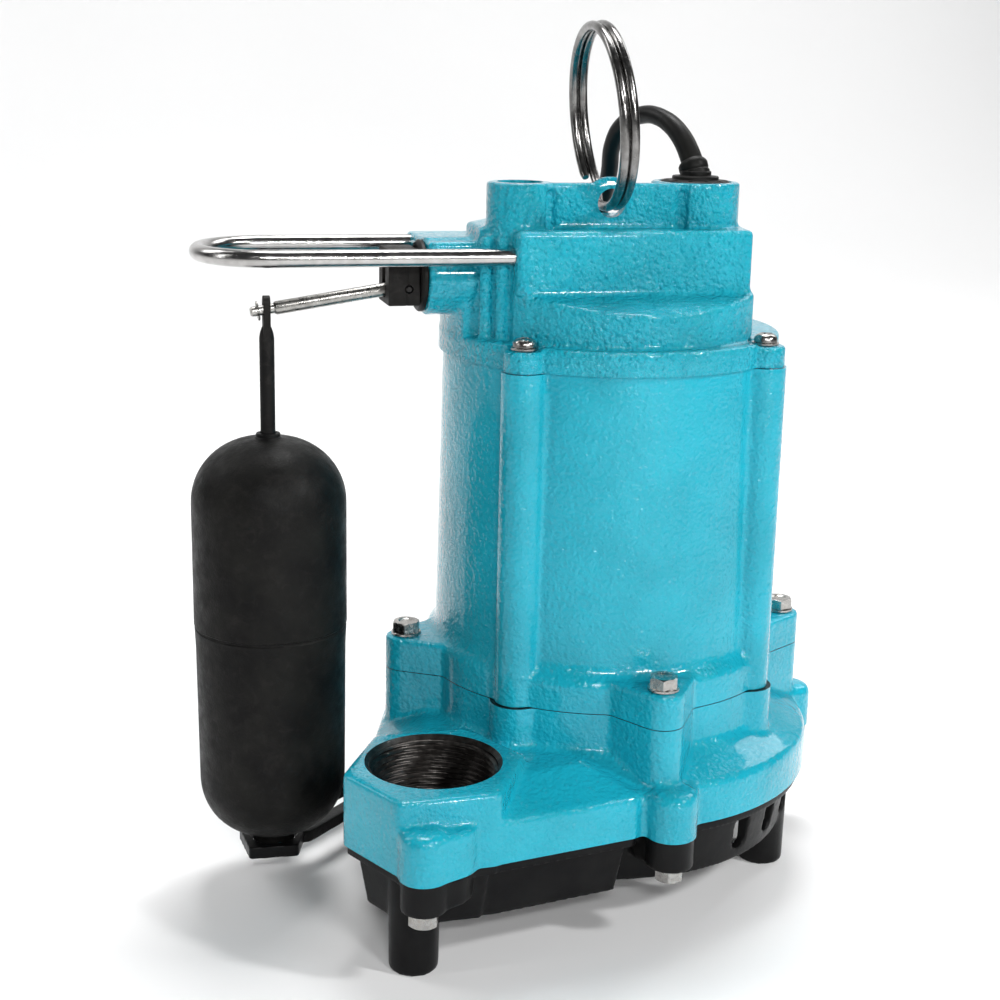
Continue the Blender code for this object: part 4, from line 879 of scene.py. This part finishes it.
def volute_casing():
    bottom, top = VOLUTE_LOW - SPARE, VOLUTE_HIGH + SPARE
    shoulder = [(RIM_R, bottom), (RIM_R, RIM_TOP - 3.0), (RIM_R - 0.9, RIM_TOP - 0.9),
                (RIM_R - 3.0, RIM_TOP), (WAIST_R + 2.5, RIM_TOP + 6.0), (WAIST_R, RIM_TOP + 8.5),
                (WAIST_R, top)]
    casing = turned("volute", [(0.0, bottom)] + shoulder + [(0.0, top)])
    neck = VOLUTE_SHAPES["neck"]
    join(casing, loft("neck", eased(neck, bottom, RIM_TOP, 3.0) + [(neck(20.0), RIM_TOP + 7.0)]))
    join(casing, loft("port", eased(VOLUTE_SHAPES["port"], bottom, DISCHARGE_TOP, 1.2)))
    for x, y, radius in BASE_LOBES.values():
        join(casing, loft("lobe", eased(disc_levels(x, y, radius), bottom, RIM_TOP + 1.0, 4.0)))
        join(casing, prism("web", lobe_web(x, y, radius), bottom, RIM_TOP - 0.5))
    for index in range(4):
        join(casing, prism("ear", ear(index), RIM_TOP - 4.0, top))
        column = disc(*quarter(index, COVER_SCREW_R), COLUMN_R + 1.0)
        join(casing, prism("column_foot", column, RIM_TOP - 4.0, top))
    soften(casing, 1.0, 9, 0.4)
    saw(casing, bottom - 5, VOLUTE_LOW)
    saw(casing, VOLUTE_HIGH, top + 5)
    roof, plate_z = 63.0, 74.0
    cut(casing, turned("chamber", [(0.0, VOLUTE_LOW - 2), (CHAMBER_R, VOLUTE_LOW - 2),
                                   (CHAMBER_R, roof - 3), (CHAMBER_R - 3, roof), (0.0, roof)]))
    channel = polygon_levels([(-20.0, -48.0), (-70.0, -88.0), (-98.0, -84.0), (-100.0, -55.0),
                              (-40.0, -20.0)], 8.0)
    cut(casing, prism("channel", channel(0.0), VOLUTE_LOW - 2, roof - 1))
    cut(casing, turned("port_bore", [(0.0, VOLUTE_LOW + 3), (PORT_BORE_R, VOLUTE_LOW + 3),
                                     (PORT_BORE_R, DISCHARGE_TOP - 1.6), (PORT_MOUTH_R, DISCHARGE_TOP),
                                     (PORT_MOUTH_R, DISCHARGE_TOP + 2), (0.0, DISCHARGE_TOP + 2)], PORT, 96))
    cut(casing, turned("plate_seat", [(0.0, roof - 2), (24.0, roof - 2), (24.0, plate_z), (58.0, plate_z),
                                      (58.0, VOLUTE_HIGH + 2), (0.0, VOLUTE_HIGH + 2)]))
    for x, y, radius in BASE_LOBES.values():
        bore(casing, x, y, BOLT_HOLE_R, VOLUTE_LOW - 2, RIM_TOP - 5.0)
    for index in range(4):
        bore(casing, *quarter(index, HOUSING_BOLT_R, 0), BOLT_HOLE_R, VOLUTE_HIGH - 14.0, VOLUTE_HIGH + 2)
    casing.data.materials.clear()
    for look in ("volute_paint", "bare_iron"):
        casing.data.materials.append(FINISH[look])
    for face in casing.data.polygons:
        reach = (Vector((face.center.x, face.center.y)) - Vector(PORT)).length
        machined = reach < PORT_MOUTH_R + 0.15 and VOLUTE_LOW + 2 < face.center.z < DISCHARGE_TOP - 0.02
        face.material_index = 1 if machined or abs(face.center.z - VOLUTE_HIGH) < 0.01 else 0
    finish(casing, "volute_casting", "volute_casing", "volute_paint")


def port_thread():
    """The pipe thread in the port: a sleeve whose inner side is a helical wave."""
    around, rows = 120, 92
    low, high = VOLUTE_LOW + 4.0, DISCHARGE_TOP - 1.5
    vertices = []
    for row in range(rows):
        z = low + (high - low) * row / (rows - 1)
        lead_in = min(1.0, (high - z) / 1.6)
        for k in range(around):
            phase = (z / THREAD_PITCH - k / around) % 1.0
            crest = max(0.0, 1 - abs(2 * phase - 1) * 1.12)
            radius = PORT_BORE_R - 0.02 - THREAD_DEPTH * crest * lead_in
            turn = 2 * math.pi * k / around
            vertices.append((PORT[0] + radius * math.cos(turn), PORT[1] + radius * math.sin(turn), z))
    outside = disc(*PORT, PORT_BORE_R + THREAD_SLEEVE, around)
    vertices += [(x, y, z) for z in (high, low) for x, y in outside]
    rings = rows + 2
    faces = []
    for ring in range(rings):
        low_ring, high_ring = ring * around, (ring + 1) % rings * around
        for k in range(around):
            j = (k + 1) % around
            faces.append((low_ring + k, low_ring + j, high_ring + j, high_ring + k))
    finish(solid("thread", vertices, faces), "port_thread", None, "bare_iron", crease=50)


def motor_housing():
    bottom, top = HOUSING_LOW - SPARE, HOUSING_HIGH + SPARE
    wall = [(0.0, bottom), (WAIST_R, bottom), (WAIST_R, FLANGE_TOP - 3.0),
            (WAIST_R - 1.2, FLANGE_TOP - 0.8), (WALL_R_LOW + 1.2, FLANGE_TOP + 0.6),
            (WALL_R_LOW, FLANGE_TOP + 3.5), (WALL_R_HIGH, HOUSING_HIGH), (WALL_R_HIGH, top), (0.0, top)]
    housing = turned("housing", wall)
    for index in range(4):
        column = disc(*quarter(index, COVER_SCREW_R), COLUMN_R - 0.6)
        join(housing, prism("column", column, bottom, top))
        join(housing, prism("ear", ear(index), bottom, FLANGE_TOP - 0.4))
    soften(housing, 1.0, 6, 0.4)
    saw(housing, bottom - 5, VOLUTE_HIGH + SEAM)
    saw(housing, COVER_LOW - SEAM, top + 5)
    bore(housing, 0, 0, VOLUTE_SEAT_R, VOLUTE_HIGH - 1, HOUSING_LOW)
    bore(housing, 0, 0, COVER_SEAT_R, HOUSING_HIGH, COVER_LOW + 1)
    bore(housing, 0, 0, BORE_R, HOUSING_LOW - 2, HOUSING_HIGH + 2)
    for index in range(4):
        bore(housing, *quarter(index, COVER_SCREW_R), SCREW_HOLE_R, HOUSING_HIGH - 18.0, HOUSING_HIGH + 2)
        bore(housing, *quarter(index, HOUSING_BOLT_R, 0), BOLT_HOLE_R, HOUSING_LOW - 2, FLANGE_TOP + 2)
    finish(housing, "housing_casting", "motor_housing", "housing_paint")


def clipped(block, name, low, high):
    """What is left of a block inside a box."""
    return combine(block, [box(name, low, high)], "INTERSECT")


def cover():
    bottom = COVER_LOW - SPARE
    crown_low = BOX_TOP - 3.0
    shell = loft("cover", eased(disc_levels(0, 0, BAND_R), bottom, BAND_TOP, 1.0))
    body = polygon_levels(COVER_BOX, 2.6)
    lower = prism("box", body(0.0), bottom, PANEL_LOW + 0.5)
    combine(lower, [prism("round", disc(0, 0, BULGE_R + 0.6), bottom - 1, PANEL_LOW + 1)], "INTERSECT")
    join(shell, lower, loft("box", eased(body, PANEL_LOW, BOX_TOP, 1.6)))
    bulge = prism("bulge", disc(0, 0, BULGE_R), bottom, PANEL_LOW + 1.3)
    clipped(bulge, "bulge_side", (-48.5, -70.0, 190.0), (43.0, 0.0, 240.0))
    slope = box("slope", (-80.0, -60.0, 0.0), (80.0, 12.0, 30.0))
    turn_to(slope, Matrix.Translation((0, PANEL_Y, PANEL_LOW)) @ Matrix.Rotation(BULGE_SLOPE, 4, "X"))
    join(shell, cut(bulge, slope))
    pedestal = prism("pedestal", disc(0, 0, BAND_R - 0.4), BAND_TOP - 4.7, PEDESTAL_TOP)
    join(shell, clipped(pedestal, "pedestal_side", (-75.0, -19.5, 200.0), (-41.3, 23.3, 250.0)))
    for x, y in RIBS:
        join(shell, loft("rib", eased(disc_levels(x, y, RIB_R), BAND_TOP - 4, BOX_TOP - 3.0, 1.2)))
    for index in range(4):
        x, y = quarter(index, COVER_SCREW_R)
        join(shell, loft("lug", eased(disc_levels(x, y, COVER_LUG_R), bottom, LUG_TOP, 0.8)))
        bore(shell, x, y, COVER_LUG_R - 1.0, LUG_TOP, BAND_TOP + 1.5)
    switch_y, switch_z = SWITCH_AXIS
    switch_boss = prism("switch_boss", disc(0, 0, SWITCH_BOSS_R), 0, 40)
    join(shell, along(switch_boss, (SWITCH_FACE_X, switch_y, switch_z), (1, 0, 0)))
    ledge = polygon_levels([(SWITCH_FACE_X, -20.0), (-40.0, -20.0), (-40.0, GUARD_REAR_Y + 7.0),
                            (SWITCH_FACE_X, GUARD_REAR_Y + 7.0)], 2.0)
    join(shell, loft("ledge", eased(ledge, LEDGE_LOW, LEDGE_TOP, 1.2)))
    for boss in (LEFT_BOSS, RIGHT_BOSS):
        join(shell, loft("crown_boss", eased(disc_levels(*boss), crown_low, CROWN_TOP, 0.8)))
    wall = polygon_levels([(LEFT_BOSS[0], CROWN_FRONT_Y), (RIGHT_BOSS[0], CROWN_FRONT_Y),
                           (RIGHT_BOSS[0], CROWN_BACK_Y), (LEFT_BOSS[0], CROWN_BACK_Y)], 0.8)
    join(shell, loft("crown_wall", eased(wall, crown_low, CROWN_TOP, 0.8)))
    hole_x, hole_z, hole_r = RING_HOLE
    hump = prism("hump", disc(0, 0, hole_r + 4.2), 0, CROWN_BACK_Y - CROWN_FRONT_Y - 0.6)
    join(shell, along(hump, (hole_x, CROWN_FRONT_Y + 0.3, hole_z), (0, 1, 0)))
    for x in VALLEYS_X:
        bore(shell, x, CROWN_FRONT_Y - 0.6, VALLEY_R, BOX_TOP - 1.0, CROWN_TOP - 2.5)
    soften(shell, 0.75, 6, 0.4)

    saw(shell, bottom - 5, COVER_LOW)
    bore(shell, 0, 0, BORE_R - 2.0, COVER_LOW - 2, BAND_TOP - 5.0)
    cut(shell, prism("room", body(5.0), BAND_TOP - 7.0, BOX_TOP - 4.5))
    drill(shell, (SWITCH_FACE_X - 2, switch_y, switch_z), (1, 0, 0), SWITCH_BORE_R, 30)
    drill(shell, (hole_x, CROWN_FRONT_Y - 2.5, hole_z), (0, 1, 0), hole_r, 12)
    for x, y, bore_r, seat_r, depth in ((*GLAND, 8.0, 13.7, 3.0), (*LEFT_BOSS[:2], 6.5, 8.5, 7.0)):
        bore(shell, x, y, bore_r, BOX_TOP - 8, CROWN_TOP + 2)
        bore(shell, x, y, seat_r, CROWN_TOP - depth, CROWN_TOP + 2)
    for start, y, depth in ((GUARD_FRONT_END + GAP - GUARD_POCKET, GUARD_FRONT_Y, GUARD_POCKET),
                            (SWITCH_FACE_X - 2, GUARD_REAR_Y, GUARD_REAR_DEPTH + 2 + GAP)):
        drill(shell, (start, y, GUARD_Z), (1, 0, 0), GUARD_WIRE_R + GAP, depth)
    for index in range(4):
        bore(shell, *quarter(index, COVER_SCREW_R), SCREW_HOLE_R, COVER_LOW - 2, LUG_TOP + 2)
    finish(shell, "cover_casting", "cover", "cover_paint")


def slot_cutter(angle):
    """A round-bottomed intake slot through the skirt, made lying along +X and turned to its angle."""
    half, height, depth = 4.0, 9.0, 22.0
    start_x, middle_z = 68.0, 27.5
    low = arc_points(0.0, 0.0, half, half, 180, 360, 12)
    slot = prism("slot", low + [(half, height), (-half, height)], 0, depth)
    stand = Matrix(((0, 0, 1, start_x), (1, 0, 0, 0), (0, 1, 0, middle_z), (0, 0, 0, 1)))
    return turn_to(slot, Matrix.Rotation(math.radians(angle), 4, "Z") @ stand)


INTAKE_ANGLES = (-61.4, -46.5, -31.5, -16.5, 20.0, 35.0, 50.0, 66.0, 106.0, 121.0, 136.0, 176.0)


def strainer_base():
    top = BASE_HIGH + SPARE
    base = prism("base", VOLUTE_SHAPES["rim"](1.5), LIP_LOW, top)
    for key in ("neck", "port"):
        join(base, prism("lip", VOLUTE_SHAPES[key](1.5), LIP_LOW, top))
    for shape in VOLUTE_SHAPES.values():
        join(base, loft("skirt", [(shape(8.2), SKIRT_LOW), (shape(5.0), LIP_LOW + 0.5)]))
    room_top = LIP_LOW - 2.8
    for shape in VOLUTE_SHAPES.values():
        cut(base, prism("room", shape(11.4), SKIRT_LOW - 2, room_top))
    for key, (x, y, radius) in BASE_LOBES.items():
        low = GUIDE_HIGH + GAP if key == "left" else BOSS_LOW
        join(base, prism("boss", disc(x, y, radius - 0.8), low, top))
        join(base, prism("web", lobe_web(x, y, radius - 2.2), low + 0.6, BASE_HIGH - 1))
    for x, y in FEET.values():
        join(base, loft("foot", [(disc(x, y, FOOT_R - 0.4), 0.0), (disc(x, y, FOOT_R), 1.0),
                                 (disc(x, y, FOOT_R + 0.4), room_top + 1)]))
    for index in range(3):
        rib = box("rib", (-72.0, -1.4, 27.0), (72.0, 1.4, room_top + 1))
        join(base, turn_to(rib, Matrix.Rotation(math.radians(60 * index + 12), 4, "Z")))
    for angle in INTAKE_ANGLES:
        cut(base, slot_cutter(angle))
    soften(base, 0.8, 3, 0.4)
    saw(base, BASE_HIGH, top + 5)
    cut(base, turned("eye", [(0.0, 20.0), (24.0, 20.0), (24.0, room_top - 1), (20.0, BASE_HIGH - 3),
                             (20.0, BASE_HIGH + 2), (0.0, BASE_HIGH + 2)]))
    for x, y, radius in BASE_LOBES.values():
        bore(base, x, y, BOLT_HOLE_R, GUIDE_HIGH - 2, BASE_HIGH + 2)
    finish(base, "base_moulding", "strainer_base", "base_plastic")


cover()
motor_housing()
volute_casing()
port_thread()
strainer_base()


# ---- switch and float

def switch_pieces():
    y, z = SWITCH_AXIS
    flange = 2.2
    ring = turned("gland", [(3.0, 0), (13.2, 0), (13.4, 0.2), (13.4, 1.3), (13.1, 1.75), (12.5, flange),
                            (11.2, flange), (10.9, flange - 0.5), (10.3, flange - 0.5), (10.0, flange),
                            (3.0, flange)])
    along(ring, (SWITCH_FACE_X - GAP, y, z), (-1, 0, 0))
    drill(ring, (SWITCH_FACE_X + 2, y, PIVOT.z), (-1, 0, 0), 3.4, 8)
    finish(ring, "switch_flange", "switch_gland", "soft_rubber")

    left, right = -91.2, SWITCH_FACE_X - flange - 2 * GAP
    half, low, high = 10.0, 229.3, 249.8
    near, far, deep = right - 5.2, right - 4.5, 0.55
    block = box("block", (left + 0.2, y - half, low), (right, y + half, high))
    proud = half + 0.01
    join(block, box("rim", (right - 4.4, y - proud, low - 0.01), (right, y + proud, high + 0.01)))
    for edge in (y - half, y + half):
        cut(block, box("line", (near, edge - deep, low - 1), (far, edge + deep, high + 1)))
    cut(block, box("line", (near, y - half - 1, high - deep), (far, y + half + 1, high + 1)))
    soften(block, 0.32, 3, 0.4)
    cut(block, box("arm_slot", (left - 2, y - 3.2, low + 2.2), (SWITCH_FACE_X - 3.8, y + 3.2, high - 5.8)))
    drill(block, (PIVOT.x, y - 15, PIVOT.z), (0, 1, 0), 1.6, 30)
    drill(block, (PIVOT.x + 1, y, PIVOT.z), (1, 0, 0), 2.3, 12)
    finish(block, "switch_body_block", "switch_block", "switch_plastic")

    reach = 10.3
    pin = turned("pin", [(0, -reach), (0.9, -reach), (1.25, -reach + 0.35), (1.25, reach - 0.35),
                         (0.9, reach), (0, reach)], count=32)
    finish(along(pin, (PIVOT.x, y, PIVOT.z), (0, 1, 0)), "switch_pin", "arm_pin", "black_steel")
    tip = (SWITCH_FACE_X - 3.5, y, PIVOT.z)
    plunger = turned("plunger", [(0, 0), (0.9, 0), (1.5, 0.25), (1.9, 0.7), (1.9, 13.0), (0, 13.0)], count=32)
    finish(along(plunger, tip, (1, 0, 0)), "switch_push_pin", "switch_plunger", "arm_steel", "plunger")


def float_arm():
    arm = turned("arm", [(0, 0), (ARM_R, 0), (ARM_R, 48.4), (2.2, 49.0), (1.85, 49.3), (1.85, 55.0),
                         (1.5, 55.05), (1.5, 55.55), (1.85, 55.6), (1.85, 57.4), (1.35, 58.1), (0, 58.1)],
                 count=48)
    along(arm, PIVOT, ARM_WAY)
    hub = prism("hub", disc(0, 0, 3.0), 0, 5.6)
    join(arm, along(hub, (PIVOT.x, PIVOT.y - 2.8, PIVOT.z), (0, 1, 0)))
    drill(arm, (PIVOT.x, PIVOT.y - 6, PIVOT.z), (0, 1, 0), 1.5, 12)
    finish(arm, "float_arm_bar", "float_arm", "arm_steel", "arm")


def arm_clip():
    """The clip in the groove near the arm's end, with its three notches and its mouth."""
    low, high = 54.0, 57.0
    clip = turned("clip", [(2.0, 54.95), (3.45, 54.95), (3.6, 55.1), (3.6, 55.5), (3.45, 55.65),
                           (2.0, 55.65)], count=40)
    for turn in (90, 210, 330):
        angle = math.radians(turn)
        bore(clip, 3.0 * math.cos(angle), 3.0 * math.sin(angle), 0.62, low, high)
    cut(clip, box("mouth", (-1.5, -6.0, low), (1.5, 0.0, high)))
    finish(along(clip, PIVOT, ARM_WAY), "retaining_clip", "arm_clip", "bolt_steel", "arm")


def float_pieces():
    centre = (PIN.x, PIN.y)
    stub_r, neck_r, socket_r = 8.0, 4.6, 3.2
    socket_floor = FLOAT_TOP - 9.0
    low_r = FLOAT_R - 1.0
    low, high = FLOAT_BOTTOM + 23.0, FLOAT_TOP - 24.5
    wall, vent_r = 2.4, 1.5
    outer = [(stub_r - 0.5, STUB_BOTTOM), (stub_r, STUB_BOTTOM + 0.5), (stub_r, FLOAT_BOTTOM + 0.6)]
    outer += arc_points(stub_r, low, low_r - stub_r, 22.4, -72, 0, 14)
    outer += [(FLOAT_R - 0.55, FLOAT_SEAM - 9.0), (FLOAT_R - 0.2, FLOAT_SEAM - 0.9),
              (FLOAT_R - 0.55, FLOAT_SEAM - 0.45), (FLOAT_R - 0.55, FLOAT_SEAM + 0.25),
              (FLOAT_R, FLOAT_SEAM + 0.7)]
    outer += arc_points(neck_r, high, FLOAT_R - neck_r, 24.5, 0, 80, 16)
    outer += [(neck_r + 0.6, FLOAT_TOP + 0.2), (neck_r, FLOAT_TOP + 0.7), (neck_r, FLOAT_TOP + 1.7),
              (neck_r - 0.3, FLOAT_TOP + 2.0), (socket_r, FLOAT_TOP + 2.0), (socket_r, socket_floor)]
    room_r = FLOAT_R - wall - vent_r
    inner = arc_points(vent_r, high, room_r, socket_floor - wall - high, 90, 0, 10)
    inner += arc_points(vent_r, low, room_r - 1.0, low - FLOAT_BOTTOM - wall, 0, -90, 10)
    inner += [(vent_r, STUB_BOTTOM)]
    finish(turned("float", outer + inner, centre, 128), "float_capsule", "float", "float_plastic",
           "float_assembly", 25)

    rod_r, tab_low, tab_top = 2.8, PIN.z - 11.5, PIN.z + 2.4
    foot = socket_floor + GAP
    rod = turned("rod", [(0, foot), (rod_r, foot), (rod_r, tab_low + 1.0), (2.5, tab_low + 3.0),
                         (1.7, tab_low + 5.2), (0, tab_low + 6.0)], centre, 40)
    crown = arc_points(0.0, tab_top, rod_r, rod_r, 0, 180, 20)
    tab = prism("tab", [(-rod_r, tab_low), (rod_r, tab_low)] + crown, -1.3, 1.3)
    stand = Matrix(((0, 0, 1, PIN.x), (1, 0, 0, PIN.y), (0, 1, 0, 0), (0, 0, 0, 1)))
    join(rod, turn_to(tab, stand))
    soften(rod, 0.25, 2, 0.35)
    drill(rod, (PIN.x - 6, PIN.y, PIN.z), (1, 0, 0), 2.35, 12)
    finish(rod, "float_stem", "float_rod", "switch_plastic", "float_assembly")


def float_guide():
    """The bracket under the float: a pad round its stub, and a slotted bar to the left base bolt."""
    bolt = Vector(BASE_LOBES["left"][:2])
    hole = Vector((PIN.x, PIN.y))
    way = (bolt - hole).normalized()
    side = Vector((-way.y, way.x))

    def strip(start, end, start_half, end_half, corner):
        """The rounded outline of a strip between two places on the bar's middle line."""
        return polygon_levels([tuple(start + side * start_half), tuple(start - side * start_half),
                               tuple(end - side * end_half), tuple(end + side * end_half)], corner)(0.0)

    pad = polygon_levels([(PIN.x - 13.0, PIN.y + 8.0), (PIN.x - 11.0, PIN.y - 12.0),
                          (PIN.x + 8.0, PIN.y - 13.0), (PIN.x + 15.0, PIN.y + 9.0),
                          (PIN.x + 6.0, PIN.y + 14.0)], 1.5)
    guide = prism("guide", pad(0.0), GUIDE_LOW, GUIDE_HIGH)
    low, high = GUIDE_LOW - 1, GUIDE_HIGH + 1
    bar = strip(hole + way * 6, bolt + way * 9, 11, 10, 5.0)
    join(guide, prism("bar", bar, GUIDE_LOW, GUIDE_HIGH))
    cut(guide, prism("slot", strip(hole + way * 17.0, bolt - way * 9.0, 4.4, 4.4, 4.2), low, high))
    soften(guide, 0.45, 2, 0.35)
    bore(guide, *hole, GUIDE_EYE_R, low, high)
    bore(guide, *bolt, 3.6, low, high)
    finish(guide, "float_guide_bracket", "float_guide", "base_plastic")


# ---- guard and lifting ring

def guard_rod():
    bend_r = (GUARD_REAR_Y - GUARD_FRONT_Y) / 2
    mid_y = (GUARD_REAR_Y + GUARD_FRONT_Y) / 2
    leg = GUARD_FRONT_END - GUARD_BEND_X
    points = [(GUARD_FRONT_END - leg * k / 12, GUARD_FRONT_Y, GUARD_Z) for k in range(12)]
    for k in range(49):
        angle = math.radians(270 - 180 * k / 48)
        points.append((GUARD_BEND_X + bend_r * math.cos(angle), mid_y + bend_r * math.sin(angle), GUARD_Z))
    rear = SWITCH_FACE_X + GUARD_REAR_DEPTH - GUARD_BEND_X
    points += [(GUARD_BEND_X + rear * (k + 1) / 9, GUARD_REAR_Y, GUARD_Z) for k in range(9)]
    rod = tube("guard", points, [GUARD_WIRE_R] * len(points), 40)
    finish(rod, "guard_bar", "guard_rod", "rod_chrome")


def lift_ring():
    """A split ring: two turns of spring wire, with the step between them and two cut ends."""
    total = 4 * math.pi - 0.8
    count = 220
    step_from, step_length = 2 * math.pi - 0.62, 0.6
    points = []
    for k in range(count + 1):
        angle = total * k / count
        offset = RING_WIRE_R * 1.02 * (2 * swing((angle - step_from) / step_length) - 1)
        turn = angle + RING_CUT
        points.append((RING_MEAN_R * math.cos(turn), RING_MEAN_R * math.sin(turn), offset))
    end = RING_WIRE_R * 0.72
    ring = tube("ring", points, [end] + [RING_WIRE_R] * (count - 1) + [end], 20)
    stand = (Matrix.Translation(RING_PIVOT) @ Matrix.Rotation(RING_YAW, 4, "Z")
             @ Matrix.Rotation(RING_LEAN, 4, "Y") @ Matrix.Translation((0, 0, RING_MEAN_R))
             @ Matrix.Rotation(math.radians(90), 4, "Y"))
    # The ring's steel look carries a painted reflection: its colour is darkened in place of the dark
    # surroundings it reflects.
    finish(turn_to(ring, stand), "lifting_ring", "lift_ring", "steel_painted_dark_reflection", "ring", 60)


# ---- fasteners, gland and port plug

def cover_screw(index):
    """A pan-head screw with a cross recess that narrows downwards."""
    x, y = quarter(index, COVER_SCREW_R)
    low = LUG_TOP + GAP
    profile = [(0, -20), (2.3, -20), (2.3, 0), (4.9, 0), (5.0, 0.1), (5.0, 0.7), (4.9, 0.8), (4.1, 0.82),
               (4.35, 1.1), (4.35, 2.0), (4.2, 2.6), (3.8, 3.2), (3.1, 3.75), (2.1, 4.1), (1.0, 4.25),
               (0, 4.3)]
    screw = turned("screw", raised(profile, low), (x, y), 64)
    for turn in (0, 90):
        wing = loft("wing", [(rectangle(2.4, 0.6), low + 1.7), (rectangle(5.2, 1.1), low + 5)])
        spin = Matrix.Rotation(math.radians(turn + 20 + 9 * index), 4, "Z")
        cut(screw, turn_to(wing, Matrix.Translation((x, y, 0)) @ spin))
    finish(screw, f"pan_screw_{index + 1}", f"cover_screw_{index + 1}", "bolt_steel")


def hex_bolt(name, node, x, y, seat, side, shank, start):
    """A washer-faced hexagon bolt with chamfered corners; side is -1 with its head down."""
    washer = [(0, 0), (5.7, 0), (5.9, 0.15), (5.9, 0.85), (5.75, 1.0), (0, 1.0)]
    bolt = turned("bolt", raised(washer, seat, side), (x, y), 64)
    top = seat + side * 5.2
    head = prism("head", disc(x, y, 5.7, 6, start), *sorted((seat + side * 0.9, top)))
    dome = raised([(0, -5.2), (8, -5.2), (8, -2.2), (4.9, 0), (0, 0)], top, side)
    combine(head, [turned("dome", dome, (x, y), 64)], "INTERSECT")
    dimple = raised([(0, 1), (3.2, 1), (3.2, -0.1), (2.6, -0.45), (0, -0.55)], top, side)
    cut(head, turned("dimple", dimple, (x, y), 48))
    join(bolt, head, prism("shank", disc(x, y, 3.0), *sorted((seat, seat + shank))))
    finish(bolt, name, node, "bolt_steel", crease=22)


def fasteners():
    for index in range(4):
        cover_screw(index)
        x, y = quarter(index, HOUSING_BOLT_R, 0)
        hex_bolt(f"flange_bolt_{index + 1}", f"housing_bolt_{index + 1}", x, y, FLANGE_TOP - 0.4 + GAP, 1,
                 -25.0, 0.3 + index)
    for index, (key, (x, y, radius)) in enumerate(BASE_LOBES.items()):
        level = GUIDE_LOW - GAP if key == "left" else BOSS_LOW - GAP
        hex_bolt(f"foot_bolt_{index + 1}", f"base_bolt_{index + 1}", x, y, level, -1, RIM_TOP - 8.0 - level,
                 0.2 + index)


def cord_gland():
    profile = [(0, -13), (7.4, -13), (7.4, -2.7), (13.0, -2.7), (13.2, -2.5), (13.2, -0.3), (12.9, 0.1),
               (12.3, 0.4), (9.4, 0.7), (8.9, 0.8), (8.8, 1.0), (8.8, 1.7), (8.5, 2.0), (6.2, 2.2),
               (5.9, 2.4), (5.9, 3.6), (5.6, 3.9), (0, 4.0)]
    gland = turned("gland", raised(profile, CROWN_TOP), GLAND, 96)
    for x, y in disc(*GLAND, 11.4, 12):
        cut(gland, prism("notch", disc(x, y, 0.9, 16), CROWN_TOP - 0.2, CROWN_TOP + 3))
    finish(gland, "lead_gland", "cord_gland", "soft_rubber")


def port_plug():
    profile = [(0, -13), (6.1, -13), (6.1, -6.7), (8.1, -6.7), (8.1, -1.8), (7.9, -1.3), (7.4, -1.0),
               (3.9, -1.0), (3.4, -1.3), (3.2, -5.0), (0, -5.0)]
    cap = turned("cap", raised(profile, CROWN_TOP), LEFT_BOSS[:2], 72)
    finish(cap, "boss_plug", "port_plug", "soft_rubber")


switch_pieces()
float_arm()
arm_clip()
float_pieces()
float_guide()
guard_rod()
lift_ring()
fasteners()
cord_gland()
port_plug()


# ---- pieces that keep their CAD shape

KEPT = {
    "shaft": "rod_chrome", "rotor_core": "lamination", "stator_core": "lamination",
    "upper_winding": "copper", "lower_winding": "copper", "upper_bearing": "steel_painted_dark_reflection",
    "lower_bearing": "steel_painted_dark_reflection", "bearing_bracket": "bare_iron", "seal_plate": "bare_iron",
    "seal_head": "soft_rubber", "seal_seat": "ceramic", "cover_gasket": "gasket",
    "volute_gasket": "gasket", "overload_protector": "inner_plastic", "switch_body": "inner_plastic",
    "impeller": "inner_plastic",
}
for node_name, look in KEPT.items():
    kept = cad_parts[node_name]
    kept.data.materials.clear()
    kept.data.materials.append(FINISH[look])

bpy.context.scene.view_settings.view_transform = "Standard"
